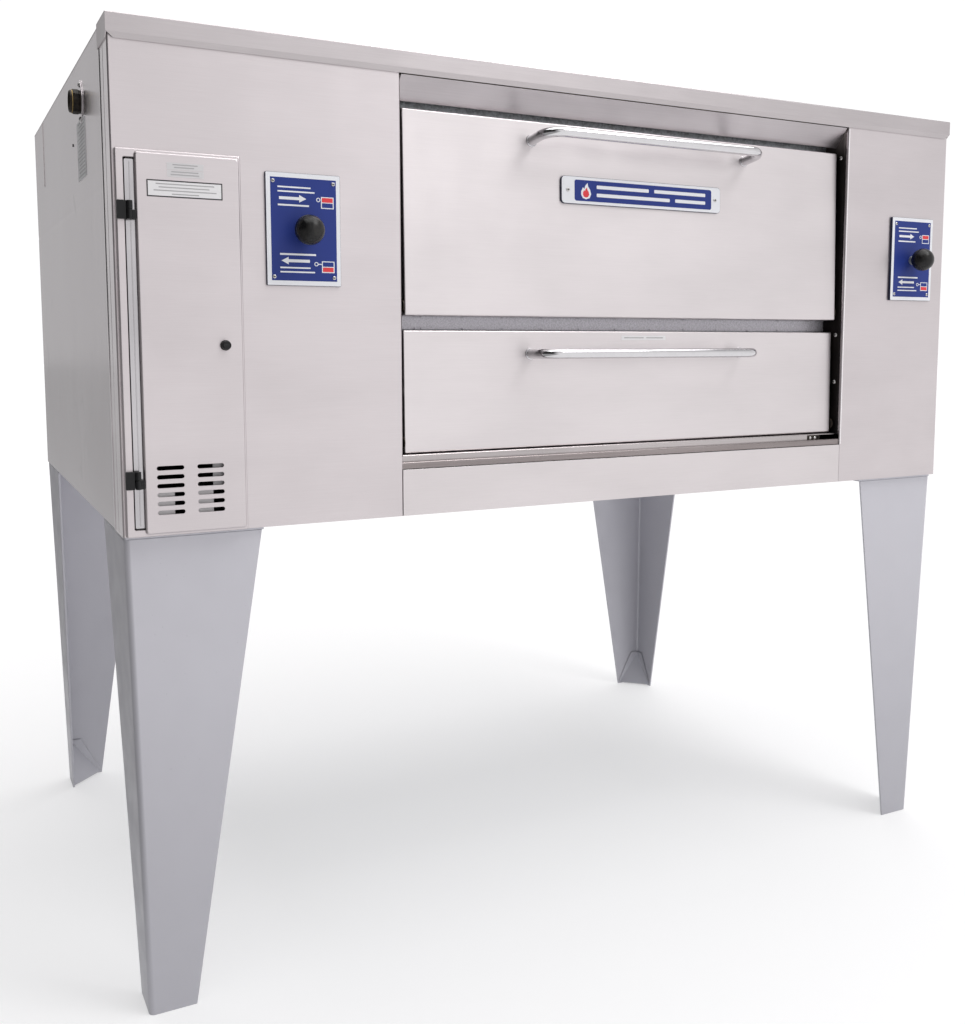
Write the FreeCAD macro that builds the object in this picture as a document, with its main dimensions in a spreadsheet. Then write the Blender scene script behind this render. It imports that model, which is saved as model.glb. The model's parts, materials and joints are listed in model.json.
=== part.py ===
"""Single-deck gas pizza oven on four tapered legs, as a parametric assembly.

Cabinet frame: x runs right from the cabinet's left face, y runs back from its front
face, z runs up from its underside.  Each node is a compound whose Placement moves it
into the part's own frame, whose origin is the centre of the footprint on the floor.
"""
import FreeCAD, Part
import os
import re
from FreeCAD import Placement, Rotation, Vector

DIMENSIONS = [
    ("width", 1657, "cabinet width over the front panels"),
    ("depth", 1118, "cabinet depth"),
    ("height", 738, "cabinet height with its top cap"),
    ("leg_height", 754, "floor to the cabinet's underside"),
    ("skin", 1.5, "gauge of the outer sheets"),
    ("return_depth", 76, "depth of the front panels' side returns"),
    ("roof_z", 736.5, "underside of the top panel"),
    ("opening_left", 435, "left edge of the door opening"),
    ("opening_right", 1382, "right edge of the door opening"),
    ("sill_top", 76, "top of the sill panel"),
    ("lip_z", 703, "lower edge of the cap's lip"),
    ("lip_bend_z", 711, "bend line of the cap's lip"),
    ("cap_proud", 5, "how far the cap stands in front of the panels"),
    ("soffit_back_y", 33, "rear edge of the sloping soffit"),
    ("soffit_back_z", 667, "height of the soffit's rear edge"),
    ("jamb_gauge", 3, "thickness of the jamb plates"),
    ("jamb_front_y", 8, "front edge of the jamb plates"),
    ("frame_y", 60, "front face of the oven's inner front frame"),
    ("door_left", 445, "left edge of both doors"),
    ("door_right", 1373, "right edge of both doors"),
    ("door_depth", 35, "depth of a door's outer pan"),
    ("pivot_y", 24, "door hinge axes behind the front face"),
    ("pin_radius", 5, "door hinge pins"),
    ("pin_clearance", 0.05, "radial running clearance"),
    ("upper_pivot_z", 342, "height of the upper door's hinge axis"),
    ("upper_bottom", 325.5, "upper door's lower edge"),
    ("upper_top", 655, "upper door's upper edge"),
    ("upper_front", 13, "upper door's face behind the front face"),
    ("upper_lean", 1.4, "upper door leans back, degrees"),
    ("upper_handle_z", 622, "upper handle's feet"),
    ("lower_pivot_z", 118, "height of the lower door's hinge axis"),
    ("lower_bottom", 100.2, "lower door's lower edge"),
    ("lower_top", 302, "lower door's upper edge"),
    ("lower_front", 19, "lower door's face behind the front face"),
    ("lower_lean", 0.8, "lower door leans back, degrees"),
    ("lower_handle_z", 262, "lower handle's feet"),
    ("handle_span", 456, "handle feet, centre to centre"),
    ("handle_reach", 60, "handle bar's axis in front of the door"),
    ("handle_radius", 8.5, "handle tube"),
    ("handle_bend", 32, "handle bend on its centre line"),
    ("plate_width", 342, "name plate"),
    ("plate_height", 47, "name plate"),
    ("plate_bottom", 521, "name plate's lower edge"),
    ("ledge_step_z", 86, "hinge ledge's lower step"),
    ("ledge_z", 97, "hinge ledge's upper step"),
    ("ledge_step_y", 14, "rear edge of the ledge's lower step"),
    ("bracket_left", 1306, "bracket on the hinge ledge"),
    ("bracket_right", 1338, "bracket on the hinge ledge"),
    ("jamb_screw_y", 17, "screws in the door jambs"),
    ("jamb_screw_high", 645.6, "screws in the door jambs"),
    ("jamb_screw_middle", 296.6, "screws in the door jambs"),
    ("jamb_screw_low", 202, "screws in the door jambs"),
    ("hinge_disc_radius", 11, "spacer discs on the door hinge pins"),
    ("mouth_left", 470, "openings in the oven's front frame"),
    ("mouth_right", 1347, "openings in the oven's front frame"),
    ("baking_mouth_low", 345, "opening of the baking chamber"),
    ("baking_mouth_high", 600, "opening of the baking chamber"),
    ("burner_mouth_low", 118, "opening of the burner compartment"),
    ("burner_mouth_high", 285, "opening of the burner compartment"),
    ("strip_bottom", 303.5, "front strip under the hearth"),
    ("strip_top", 331, "front strip under the hearth"),
    ("strip_gauge", 7, "front strip under the hearth"),
    ("notch_pair_left", 476, "first of the two close notches in the strip"),
    ("notch_pair_right", 487.5, "second of the two close notches in the strip"),
    ("notch_first_x", 563, "first evenly spaced notch in the strip"),
    ("notch_pitch", 76.95, "notches along the strip"),
    ("notch_width", 6, "notches along the strip"),
    ("oven_left", 300, "outside of the baking chamber"),
    ("oven_right", 1517, "outside of the baking chamber"),
    ("oven_back", 1000, "rear of the baking chamber"),
    ("oven_top", 610, "top of the baking chamber"),
    ("hearth_bottom", 302, "underside of the stone slabs"),
    ("hearth_top", 340, "baking surface"),
    ("burner_floor", 60, "bottom of the burner box"),
    ("burner_top", 277, "top of the burner box"),
    ("burner_z", 130, "burner and manifold axes"),
    ("burner_radius", 16, "burner tubes"),
    ("burner_first_y", 250, "first burner"),
    ("burner_pitch", 280, "burner to burner"),
    ("manifold_x", 236, "manifold's axis"),
    ("manifold_radius", 13.35, "three-quarter inch gas pipe"),
    ("manifold_end", 860, "rear end of the manifold"),
    ("spud_radius", 6, "burner spuds"),
    ("slab_split", 908, "joint between the two stone slabs"),
    ("duct_width", 38, "heat duct beside the chamber, left"),
    ("duct_outer_right", 1600, "outer side of the right heat duct"),
    ("partition_x", 186, "control compartment's inner wall"),
    ("flue_width", 260, "flue duct"),
    ("flue_bottom", 500, "flue duct"),
    ("flue_top", 590, "flue duct"),
    ("flue_proud", 30, "flue duct behind the cabinet"),
    ("knob_z", 450, "damper rods"),
    ("left_knob_x", 275, "left damper rod"),
    ("right_knob_x", 1562, "right damper rod"),
    ("knob_radius", 22.5, "damper ball knobs"),
    ("knob_centre_y", -34, "damper ball knobs"),
    ("damper_rod_radius", 4, "damper rods"),
    ("rod_hole_radius", 9, "clearance holes for the damper rods"),
    ("neck_front_y", -30, "neck behind the ball knobs"),
    ("neck_rear_y", -11, "neck behind the ball knobs"),
    ("blade_front_y", 150, "damper blades"),
    ("blade_rear_y", 440, "damper blades"),
    ("window_depth", 30, "windows in the damper blades and their seats"),
    ("window_pitch", 75, "windows in the damper blades and their seats"),
    ("heat_plate_width", 115.5, "dial plates behind the knobs"),
    ("heat_plate_height", 168, "dial plates behind the knobs"),
    ("heat_plate_gauge", 5, "dial plates behind the knobs"),
    ("heat_plate_bottom", 368, "dial plates behind the knobs"),
    ("heat_screw_low", 381, "corner screws of the dial plates"),
    ("heat_screw_high", 523, "corner screws of the dial plates"),
    ("heat_screw_inset", 11, "corner screws of the dial plates"),
    ("frame_left", 4, "control door's frame"),
    ("frame_right", 180, "control door's frame"),
    ("frame_top", 554, "control door's frame"),
    ("frame_proud", 8, "control door's frame"),
    ("hatch_left", 15, "opening behind the control door"),
    ("hatch_right", 162, "opening behind the control door"),
    ("hatch_bottom", 10.5, "opening behind the control door"),
    ("hatch_top", 542, "opening behind the control door"),
    ("panel_left", 30, "control door"),
    ("panel_right", 177, "control door"),
    ("panel_bottom", 4, "control door"),
    ("panel_top", 550, "control door"),
    ("panel_front", -12.5, "control door's face"),
    ("panel_rear", -8.5, "control door's rear edge"),
    ("control_axis_x", 21.5, "control door's hinge axis"),
    ("control_axis_y", -14, "control door's hinge axis"),
    ("hinge_leaf_right", 16.5, "control door's hinges"),
    ("hinge_height", 26, "control door's hinges"),
    ("hinge_split", 13.5, "control door's hinges, height of the moving half"),
    ("hinge_high_z", 455, "control door's upper hinge"),
    ("hinge_low_z", 71, "control door's lower hinge"),
    ("knuckle_radius", 4, "control door's hinges"),
    ("hinge_pin_radius", 2, "control door's hinges"),
    ("vent_length", 39, "vent slots"),
    ("vent_width", 6.4, "vent slots"),
    ("vent_pitch", 13.05, "vent slots"),
    ("vent_first_z", 35, "vent slots"),
    ("vent_left_x", 67, "middle of the left column of vents"),
    ("vent_right_x", 124.8, "middle of the right column of vents"),
    ("latch_x", 150.8, "latch"),
    ("latch_z", 278, "latch"),
    ("latch_radius", 7.8, "latch"),
    ("latch_front_y", -23, "latch"),
    ("gas_y", 300, "gas inlet"),
    ("gas_z", 668, "gas inlet"),
    ("pipe_radius", 16.7, "one inch gas pipe"),
    ("coupling_radius", 20, "pipe coupling"),
    ("coupling_proud", 17, "pipe coupling outside the cabinet"),
    ("coupling_bore", 15.1, "pipe coupling's threaded bore"),
    ("riser_x", 95, "gas riser in the control compartment"),
    ("riser_y", 160, "gas riser in the control compartment"),
    ("flange_half_y", 24, "flange around the gas inlet"),
    ("flange_half_z", 34, "flange around the gas inlet"),
    ("flange_screw", 27, "screws above and below the gas inlet"),
    ("shutoff_z", 470, "shut-off valve's stem"),
    ("controls_left", 60, "gas valve and thermostat bodies"),
    ("controls_right", 130, "gas valve and thermostat bodies"),
    ("valve_front", 125, "gas valve body"),
    ("valve_back", 195, "gas valve body"),
    ("valve_bottom", 310, "gas valve body"),
    ("valve_top", 400, "gas valve body"),
    ("valve_knob_x", 82, "gas valve's knob"),
    ("valve_knob_z", 370, "gas valve's knob"),
    ("button_x", 115, "pilot button"),
    ("button_z", 332, "pilot button"),
    ("button_radius", 7, "pilot button"),
    ("dial_z", 220, "thermostat dial"),
    ("dial_front", 34, "thermostat dial"),
    ("dial_rear", 56, "thermostat dial"),
    ("thermostat_front", 62, "thermostat body"),
    ("leg_top_width", 202.5, "leg flange at the cabinet"),
    ("leg_foot_width", 72, "leg flange at the floor"),
    ("leg_gauge", 4, "leg sheet"),
    ("leg_inset_x", 2.3, "leg's outer corner from the cabinet's side"),
    ("leg_inset_y", 9, "leg's outer corner from the cabinet's front"),
    ("leg_lean", 16.4, "leg's outer corner moves in at the foot"),
    ("pad_height", 5, "mounting pads on the legs"),
    ("pad_size", 185, "mounting pads on the legs"),
    ("bolt_near", 60, "leg bolts from the leg's corner"),
    ("bolt_far", 110, "leg bolts from the leg's corner"),
    ("bolt_radius", 8, "leg bolts"),
    ("gusset_height", 90, "sloping plates in the feet"),
]
ALIASES = {alias for alias, value, note in DIMENSIONS}

doc = FreeCAD.newDocument("deck_oven")
sheet = doc.addObject("Spreadsheet::Sheet", "dims")
for line, (alias, value, note) in enumerate(DIMENSIONS, start=1):
    sheet.set(f"A{line}", alias)
    sheet.set(f"B{line}", str(value))
    sheet.set(f"C{line}", note)
    sheet.setAlias(f"B{line}", alias)
doc.recompute()

# The overall box runs from the gas coupling to the cap's right tab, and from the handles
# to the flue; its middle is the part's origin.
CENTRE_X = "(width + skin - coupling_proud) / 2"
CENTRE_Y = "(depth + flue_proud + knob_centre_y - knob_radius) / 2"
NODES = []


def formula(text):
    """An expression in plain words, as an expression on the spreadsheet."""
    return re.sub(r"[a-z]\w*", lambda m: f"dims.{m[0]}" if m[0] in ALIASES else m[0], text)


def bind(thing, **sizes):
    for prop, text in sizes.items():
        thing.setExpression(prop.replace("__", "."), formula(text))


def at(thing, x, y, z):
    bind(thing, Placement__Base__x=x, Placement__Base__y=y, Placement__Base__z=z)
    return thing


def block(x, y, z):
    """A box between two limits on each axis."""
    thing = doc.addObject("Part::Box", "block")
    spans = [f"({hi}) - ({lo})" for lo, hi in (x, y, z)]
    bind(thing, Length=spans[0], Width=spans[1], Height=spans[2])
    return at(thing, x[0], y[0], z[0])


TURN = {"x": Rotation(Vector(0, 1, 0), 90), "y": Rotation(Vector(1, 0, 0), -90), "z": Rotation()}


def along(axis, span, across):
    """The point where a round piece starts: across holds its other two coordinates."""
    order = {"x": (span[0], *across), "y": (across[0], span[0], across[1]), "z": (*across, span[0])}
    return order[axis]


def cylinder(axis, span, across, radius):
    thing = doc.addObject("Part::Cylinder", "cylinder")
    thing.Placement.Rotation = TURN[axis]
    bind(thing, Radius=radius, Height=f"({span[1]}) - ({span[0]})")
    return at(thing, *along(axis, span, across))


def cone(axis, span, across, radius_start, radius_end):
    thing = doc.addObject("Part::Cone", "cone")
    thing.Placement.Rotation = TURN[axis]
    bind(thing, Radius1=radius_start, Radius2=radius_end, Height=f"({span[1]}) - ({span[0]})")
    return at(thing, *along(axis, span, across))


def ball(x, y, z, radius):
    thing = doc.addObject("Part::Sphere", "ball")
    bind(thing, Radius=radius)
    return at(thing, x, y, z)


def quarter_bend(x, y, z, bend, radius, turn):
    """A quarter of a ring in a level plane, centred on x, y and turned about z."""
    thing = doc.addObject("Part::Torus", "bend")
    thing.Placement.Rotation = Rotation(Vector(0, 0, 1), turn)
    bind(thing, Radius1=bend, Radius2=radius)
    thing.Angle3 = 90
    return at(thing, x, y, z)


def frustum(foot, top, z):
    """A solid between two level rectangles, each given as (x, x, y, y)."""
    thing = doc.addObject("Part::Wedge", "frustum")
    thing.Placement.Rotation = Rotation(Vector(1, 0, 0), 90)
    bind(thing, Ymin=z[0], Ymax=z[1],
         Xmin=foot[0], Xmax=foot[1], Zmin=f"0 - ({foot[3]})", Zmax=f"0 - ({foot[2]})",
         X2min=top[0], X2max=top[1], Z2min=f"0 - ({top[3]})", Z2max=f"0 - ({top[2]})")
    return thing


def fused(*pieces):
    thing = doc.addObject("Part::MultiFuse", "fused")
    thing.Shapes = list(pieces)
    return thing


def cut(base, *tools):
    thing = doc.addObject("Part::Cut", "cut")
    thing.Base = base
    thing.Tool = tools[0] if len(tools) == 1 else fused(*tools)
    return thing


def mirrored(piece):
    """The piece's mirror image about the cabinet's middle plane, left to right."""
    thing = doc.addObject("Part::Mirroring", "mirrored")
    thing.Source = piece
    thing.Normal = Vector(1, 0, 0)
    bind(thing, Base__x="width / 2")
    return thing


FRAMES = {
    "cabinet": ("0", "0", "0"),
    "upper_door": ("pivot_y", "upper_pivot_z", "upper_lean"),
    "lower_door": ("pivot_y", "lower_pivot_z", "lower_lean"),
}


def node(label, *pieces, frame="cabinet"):
    """Labels a sub-part and places it; a door's pieces are modelled about its hinge axis."""
    y, z, lean = FRAMES[frame]
    thing = doc.addObject("Part::Compound", label)
    thing.Label = label
    thing.Links = list(pieces)
    thing.Placement = Placement(Vector(), Rotation(Vector(-1, 0, 0), 1))
    bind(thing, Placement__Rotation__Angle=lean)
    at(thing, f"0 - {CENTRE_X}", f"{y} - {CENTRE_Y}", f"{z} + leg_height")
    NODES.append(thing)
    return thing


def tray(x, y, z, wall, open_side):
    """A box with walls of one gauge, open on the sides named, such as '-y' or '+z'."""
    inner = []
    for axis, (lo, hi) in zip("xyz", (x, y, z)):
        inner.append((f"({lo}) - 1" if f"-{axis}" in open_side else f"({lo}) + {wall}",
                      f"({hi}) + 1" if f"+{axis}" in open_side else f"({hi}) - {wall}"))
    return block(x, y, z), block(*inner)


# --- cabinet ---------------------------------------------------------------------------
def side_panels():
    sheet_box = (("skin", "2 * skin"), ("20", "depth"), ("0", "roof_z"))
    gas_hole = cylinder("x", ("0", "10"), ("gas_y", "gas_z"), "pipe_radius + 1")
    node("left_side_panel", cut(block(*sheet_box), gas_hole))
    node("right_side_panel", block(("width - 2 * skin", "width - skin"), *sheet_box[1:]))


def back_and_floor():
    inside = ("2 * skin", "width - 2 * skin")
    flue_hole = block(("width / 2 - flue_width / 2", "width / 2 + flue_width / 2"),
                      ("depth - 20", "depth + 20"), ("flue_bottom", "flue_top"))
    node("back_panel", cut(block(inside, ("depth - skin", "depth"), ("skin", "roof_z")), flue_hole))
    node("bottom_panel", block(inside, ("skin", "depth"), ("0", "skin")))
    node("top_panel", block(("skin", "width - skin"), ("return_depth + 4", "depth"), ("roof_z", "height")))


def top_front_cap():
    """Fascia, sloping lip, top flange and the two side tabs, with the corners clipped."""
    ends = ("0 - skin", "width + skin")
    front = "0 - cap_proud"
    fascia = block(ends, (front, f"{front} + skin"), ("lip_bend_z", "height"))
    flange = block(ends, (front, "return_depth + 4"), ("height - skin", "height"))
    lip = frustum(("9", "width - 9", "0 - skin", "0"),
                  (*ends, front, f"{front} + skin"), ("lip_z", "lip_bend_z"))
    tab = block(("0 - skin", "0"), (front, "return_depth + 4"), ("lip_z", "height"))
    clip = frustum(("0 - 3", "1", f"{front} - 1", "6"), ("0 - 3", "1", f"{front} - 1", front),
                   ("lip_z - 0.1", "lip_bend_z + 3"))
    tabs = [cut(tab, clip)]
    tabs.append(mirrored(tabs[0]))
    node("top_front_cap", fused(fascia, flange, lip, *tabs))


def soffit_panel():
    inside = ("opening_left + jamb_gauge", "opening_right - jamb_gauge")
    rear = ("soffit_back_y - skin * 1.4", "soffit_back_y")
    node("soffit_panel", frustum((*inside, *rear), (*inside, "skin", "skin * 2.4"),
                                 ("soffit_back_z", "lip_z - 1")))


def front_panel(label, span, outer, inner, holes):
    """A face with a deep return on its outer edge and a shallow one beside the doors."""
    full = ("0", "roof_z")
    face = block(span, ("0", "skin"), full)
    side = block(outer, ("0", "return_depth"), full)
    reveal = block(inner, ("0", "jamb_front_y"), ("skin", "roof_z"))
    node(label, cut(fused(face, side, reveal), *holes))


def front_panels():
    hatch = block(("hatch_left", "hatch_right"), ("0 - 5", "5"), ("hatch_bottom", "hatch_top"))
    rods = [cylinder("y", ("0 - 5", "5"), (x, "knob_z"), "rod_hole_radius")
            for x in ("left_knob_x", "right_knob_x")]
    front_panel("front_left_panel", ("0", "opening_left"), ("0", "skin"),
                ("opening_left - skin", "opening_left"), [hatch, rods[0]])
    front_panel("front_right_panel", ("opening_right", "width"), ("width - skin", "width"),
                ("opening_right", "opening_right + skin"), [rods[1]])


def sill_and_ledge():
    between = ("opening_left", "opening_right")
    face = block(between, ("0", "skin"), ("0", "sill_top"))
    flange = block(between, ("0", "6"), ("sill_top - skin", "sill_top"))
    node("sill_panel", fused(face, flange))
    low, high = ("ledge_step_z - skin", "ledge_step_z"), ("ledge_z - skin", "ledge_z")
    riser_y = ("ledge_step_y - skin", "ledge_step_y")
    step = [(("4.5", "6"), ("sill_top", "ledge_step_z")), (("4.5", "ledge_step_y"), low),
            (riser_y, ("ledge_step_z - skin", "ledge_z")), (("ledge_step_y - skin", "frame_y"), high)]
    ledge = fused(*[block(between, y, z) for y, z in step])
    plate_y = ("ledge_step_y - 2 * skin", "ledge_step_y - skin")
    rivet_y = ("ledge_step_y - 2 * skin - 2", "ledge_step_y - 2 * skin")
    plate = block(("bracket_left", "bracket_right"), plate_y, ("ledge_step_z + 0.5", "ledge_z - 0.5"))
    rivets = [cylinder("y", rivet_y, (f"bracket_left + {offset}", "ledge_step_z + 5"), "3")
              for offset in (8, 20)]
    node("hinge_ledge", ledge, fused(plate, *rivets))


def door_jambs():
    jambs = []
    for lo, hi in (("opening_left", "opening_left + jamb_gauge"),
                   ("opening_right - jamb_gauge", "opening_right")):
        plate = block((lo, hi), ("jamb_front_y", "frame_y"), ("ledge_z", "lip_z"))
        bores = [cylinder("x", (f"{lo} - 1", f"{hi} + 1"), ("pivot_y", z), "pin_radius + pin_clearance")
                 for z in ("upper_pivot_z", "lower_pivot_z")]
        jambs.append(cut(plate, *bores))
    node("door_jambs", *jambs)


# --- baking chamber and burners --------------------------------------------------------
def oven_front():
    across = ("oven_left", "oven_right")
    plate = block(across, ("frame_y", "frame_y + skin"), ("burner_floor", "lip_z"))
    mouths = (("baking_mouth_low", "baking_mouth_high"), ("burner_mouth_low", "burner_mouth_high"))
    holes = [block(("mouth_left", "mouth_right"), ("frame_y - 10", "frame_y + 10"), z) for z in mouths]
    node("oven_front_frame", cut(plate, *holes))
    inside = ("opening_left + jamb_gauge", "opening_right - jamb_gauge")
    bar = block(inside, ("frame_y - strip_gauge", "frame_y"), ("strip_bottom", "strip_top"))
    centres = ["notch_pair_left", "notch_pair_right"]
    centres += [f"notch_first_x + {i} * notch_pitch" for i in range(11)]
    front = ("frame_y - strip_gauge - 2", "frame_y - strip_gauge + 1.5")
    notches = [block((f"{x} - notch_width / 2", f"{x} + notch_width / 2"), front, z)
               for z in (("strip_bottom - 2", "strip_bottom + 2.8"), ("strip_top - 7.8", "strip_top - 5.2"))
               for x in centres]
    node("deck_front_strip", cut(bar, *notches))


def chamber():
    x, y = ("oven_left", "oven_right"), ("frame_y + skin", "oven_back")
    outer, inner = tray(x, y, ("hearth_bottom", "oven_top"), "skin", "-y -z")
    flue = block(("width / 2 - flue_width / 2", "width / 2 + flue_width / 2"),
                 ("oven_back - 20", "oven_back + 20"), ("flue_bottom", "flue_top"))
    slots = [block((wall, f"{wall} + 6"), (f"{y0}", f"{y0} + 60"), ("knob_z + 60", "knob_z + 80"))
             for wall in ("oven_left - 3", "oven_right - 3") for y0 in (200, 400, 600)]
    node("chamber_liner", cut(outer, inner, flue, *slots))
    slab_y, slab_z = ("frame_y + 4", "oven_back - 4"), ("hearth_bottom", "hearth_top")
    node("hearth_slabs", block(("oven_left + 2", "slab_split"), slab_y, slab_z),
         block(("slab_split + 1", "oven_right - 2"), slab_y, slab_z))
    rails = [block(x, (f"{y0}", f"{y0} + 40"), ("burner_top", "hearth_bottom")) for y0 in (62, 510, 955)]
    rails += [block((x0, f"{x0} + 40"), ("frame_y + 2", "oven_back - 5"), ("burner_top", "hearth_bottom"))
              for x0 in ("oven_left", "888", "oven_right - 40")]
    node("deck_frame", fused(*rails))


def burners():
    x, y = ("oven_left", "oven_right"), ("frame_y + skin", "oven_back")
    outer, inner = tray(x, y, ("burner_floor", "burner_top"), "skin", "-y +z")
    rows = [f"burner_first_y + {i} * burner_pitch" for i in range(3)]
    holes = [cylinder("x", ("oven_left - 5", "oven_left + 5"), (row, "burner_z"), "burner_radius + 0.5")
             for row in rows]
    node("burner_box", cut(outer, inner, *holes))
    outside, inside = ("manifold_x + 26", "oven_right - skin"), ("manifold_x + 25", "oven_right - skin - 2")
    tubes = [cut(cylinder("x", outside, (row, "burner_z"), "burner_radius"),
                 cylinder("x", inside, (row, "burner_z"), "burner_radius - 2"))
             for row in rows]
    node("burner_tubes", *tubes)
    baffles = [block(("oven_left + skin", "oven_right - skin"), (f"{row} - 60", f"{row} + 60"),
                     ("200", "202")) for row in rows]
    node("flame_baffles", *baffles)
    header = cylinder("y", ("riser_y", "manifold_end"), ("manifold_x", "burner_z"), "manifold_radius")
    spuds = [cylinder("x", ("manifold_x", "manifold_x + 22"), (row, "burner_z"), "spud_radius")
             for row in rows]
    riser = [cylinder("z", (lo, hi), ("riser_x", "riser_y"), "manifold_radius")
             for lo, hi in (("valve_top", "shutoff_z - 30"), ("burner_z", "valve_bottom"))]
    feed = cylinder("x", ("riser_x", "manifold_x"), ("riser_y", "burner_z"), "manifold_radius")
    elbow = ball("riser_x", "riser_y", "burner_z", "17")
    node("gas_manifold", riser[0], fused(riser[1], elbow, feed, header, *spuds))
    bracket = block(("420", "450"), ("burner_first_y + 20", "burner_first_y + 22"),
                    ("burner_floor + skin", "150"))
    tip = cylinder("z", ("118", "158"), ("435", "burner_first_y + 26"), "7")
    node("pilot_burner", fused(bracket, tip))


def insulation():
    y = ("frame_y + skin", "oven_back")
    flue = block(("width / 2 - flue_width / 2", "width / 2 + flue_width / 2"),
                 ("oven_back - 20", "depth + 20"), ("flue_bottom", "flue_top"))
    top = block(("oven_left", "oven_right"), y, ("oven_top", "roof_z"))
    floor = block(("oven_left", "oven_right"), y, ("skin", "burner_floor"))
    left = block(("partition_x + 4", "oven_left - duct_width"), y, ("170", "roof_z"))
    right = block(("duct_outer_right", "width - 2 * skin"), y, ("skin", "roof_z"))
    back = block(("partition_x + 4", "width - 2 * skin"), ("oven_back", "depth - skin"),
                 ("skin", "roof_z"))
    node("insulation_batts", top, floor, left, right, cut(back, flue))
    outer, inner = tray(("width / 2 - flue_width / 2", "width / 2 + flue_width / 2"),
                        ("oven_back - skin", "depth + flue_proud"), ("flue_bottom", "flue_top"),
                        "skin", "-y +y")
    node("flue_duct", cut(outer, inner))


# --- heat dampers ----------------------------------------------------------------------
DAMPERS = {"left": ("left_knob_x", "oven_left - duct_width", "oven_left"),
           "right": ("right_knob_x", "oven_right", "duct_outer_right")}


def dampers():
    seats, bushings, plates = [], [], []
    for side, (x, lo, hi) in DAMPERS.items():
        slots = [block((f"{lo} + 9", f"{hi} - 9"), (y0, f"{y0} + window_depth"), ("440", "450"))
                 for y0 in (f"blade_front_y + 20 + {i} * window_pitch" for i in range(4))]
        seats.append(cut(block((lo, hi), ("120", "480"), ("444", "446")), *slots))
        ring = cylinder("y", ("0 - 7", "6"), (x, "knob_z"), "rod_hole_radius")
        bore = cylinder("y", ("0 - 8", "7"), (x, "knob_z"), "damper_rod_radius + pin_clearance")
        bushings.append(cut(ring, bore))
        plate = block((f"{x} - heat_plate_width / 2", f"{x} + heat_plate_width / 2"),
                      ("0 - heat_plate_gauge", "0"),
                      ("heat_plate_bottom", "heat_plate_bottom + heat_plate_height"))
        plates.append(cut(plate, cylinder("y", ("0 - 9", "1"), (x, "knob_z"), "rod_hole_radius")))
        rod = cylinder("y", ("neck_rear_y", "blade_front_y"), (x, "knob_z"), "damper_rod_radius")
        width = (f"{lo} + 4", f"{hi} - 4")
        lip = block(width, ("blade_front_y", "blade_front_y + 2"), ("446.5", "458"))
        blade = block(width, ("blade_front_y", "blade_rear_y"), ("446.5", "448.5"))
        windows = [block((f"{lo} + 10", f"{hi} - 10"), (y0, f"{y0} + window_depth"), ("440", "450"))
                   for y0 in (f"blade_front_y + 58 + {i} * window_pitch" for i in range(3))]
        node(f"{side}_damper_slide", fused(rod, lip, cut(blade, *windows)))
        neck = cone("y", ("neck_front_y", "neck_rear_y"), (x, "knob_z"), "14", "rod_hole_radius")
        node(f"{side}_damper_knob", fused(ball(x, "knob_centre_y", "knob_z", "knob_radius"), neck))
    node("damper_guides", *seats, *bushings)
    node("heat_plates", *plates)


# --- control compartment ---------------------------------------------------------------
def compartment():
    wall = block(("partition_x", "partition_x + skin"), ("skin", "700"), ("skin", "roof_z"))
    shelf = block(("2 * skin", "partition_x"), ("110", "112"), ("150", "290"))
    pipe_hole = cylinder("x", ("partition_x - 5", "partition_x + 5"), ("riser_y", "burner_z"), "15")
    node("control_partition", cut(fused(wall, shelf), pipe_hole))


def gas_line():
    inlet = cylinder("x", ("0 - 6", "riser_x"), ("gas_y", "gas_z"), "pipe_radius")
    forward = cylinder("y", ("riser_y", "gas_y"), ("riser_x", "gas_z"), "pipe_radius")
    elbows = [ball("riser_x", y, "gas_z", "pipe_radius + 3.5") for y in ("gas_y", "riser_y")]
    down = cylinder("z", ("500", "gas_z"), ("riser_x", "riser_y"), "pipe_radius")
    coupling = cut(cylinder("x", ("0 - coupling_proud + 5", "0 - 6"), ("gas_y", "gas_z"), "coupling_radius"),
                   cylinder("x", ("0 - coupling_proud", "0 - 8"), ("gas_y", "gas_z"), "coupling_bore"))
    ring = cut(cylinder("x", ("0 - coupling_proud", "0 - coupling_proud + 5"), ("gas_y", "gas_z"),
                        "coupling_radius - 2"),
               cylinder("x", ("0 - coupling_proud - 1", "0"), ("gas_y", "gas_z"), "coupling_bore"))
    node("gas_inlet_pipe", fused(inlet, forward, down, *elbows))
    plate = block(("0", "skin"), ("gas_y - flange_half_y", "gas_y + flange_half_y"),
                  ("gas_z - flange_half_z", "gas_z + flange_half_z"))
    flange = cut(plate, cylinder("x", ("0 - 2", "4"), ("gas_y", "gas_z"), "pipe_radius + 0.5"))
    node("gas_inlet_coupling", coupling, ring, flange)


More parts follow.
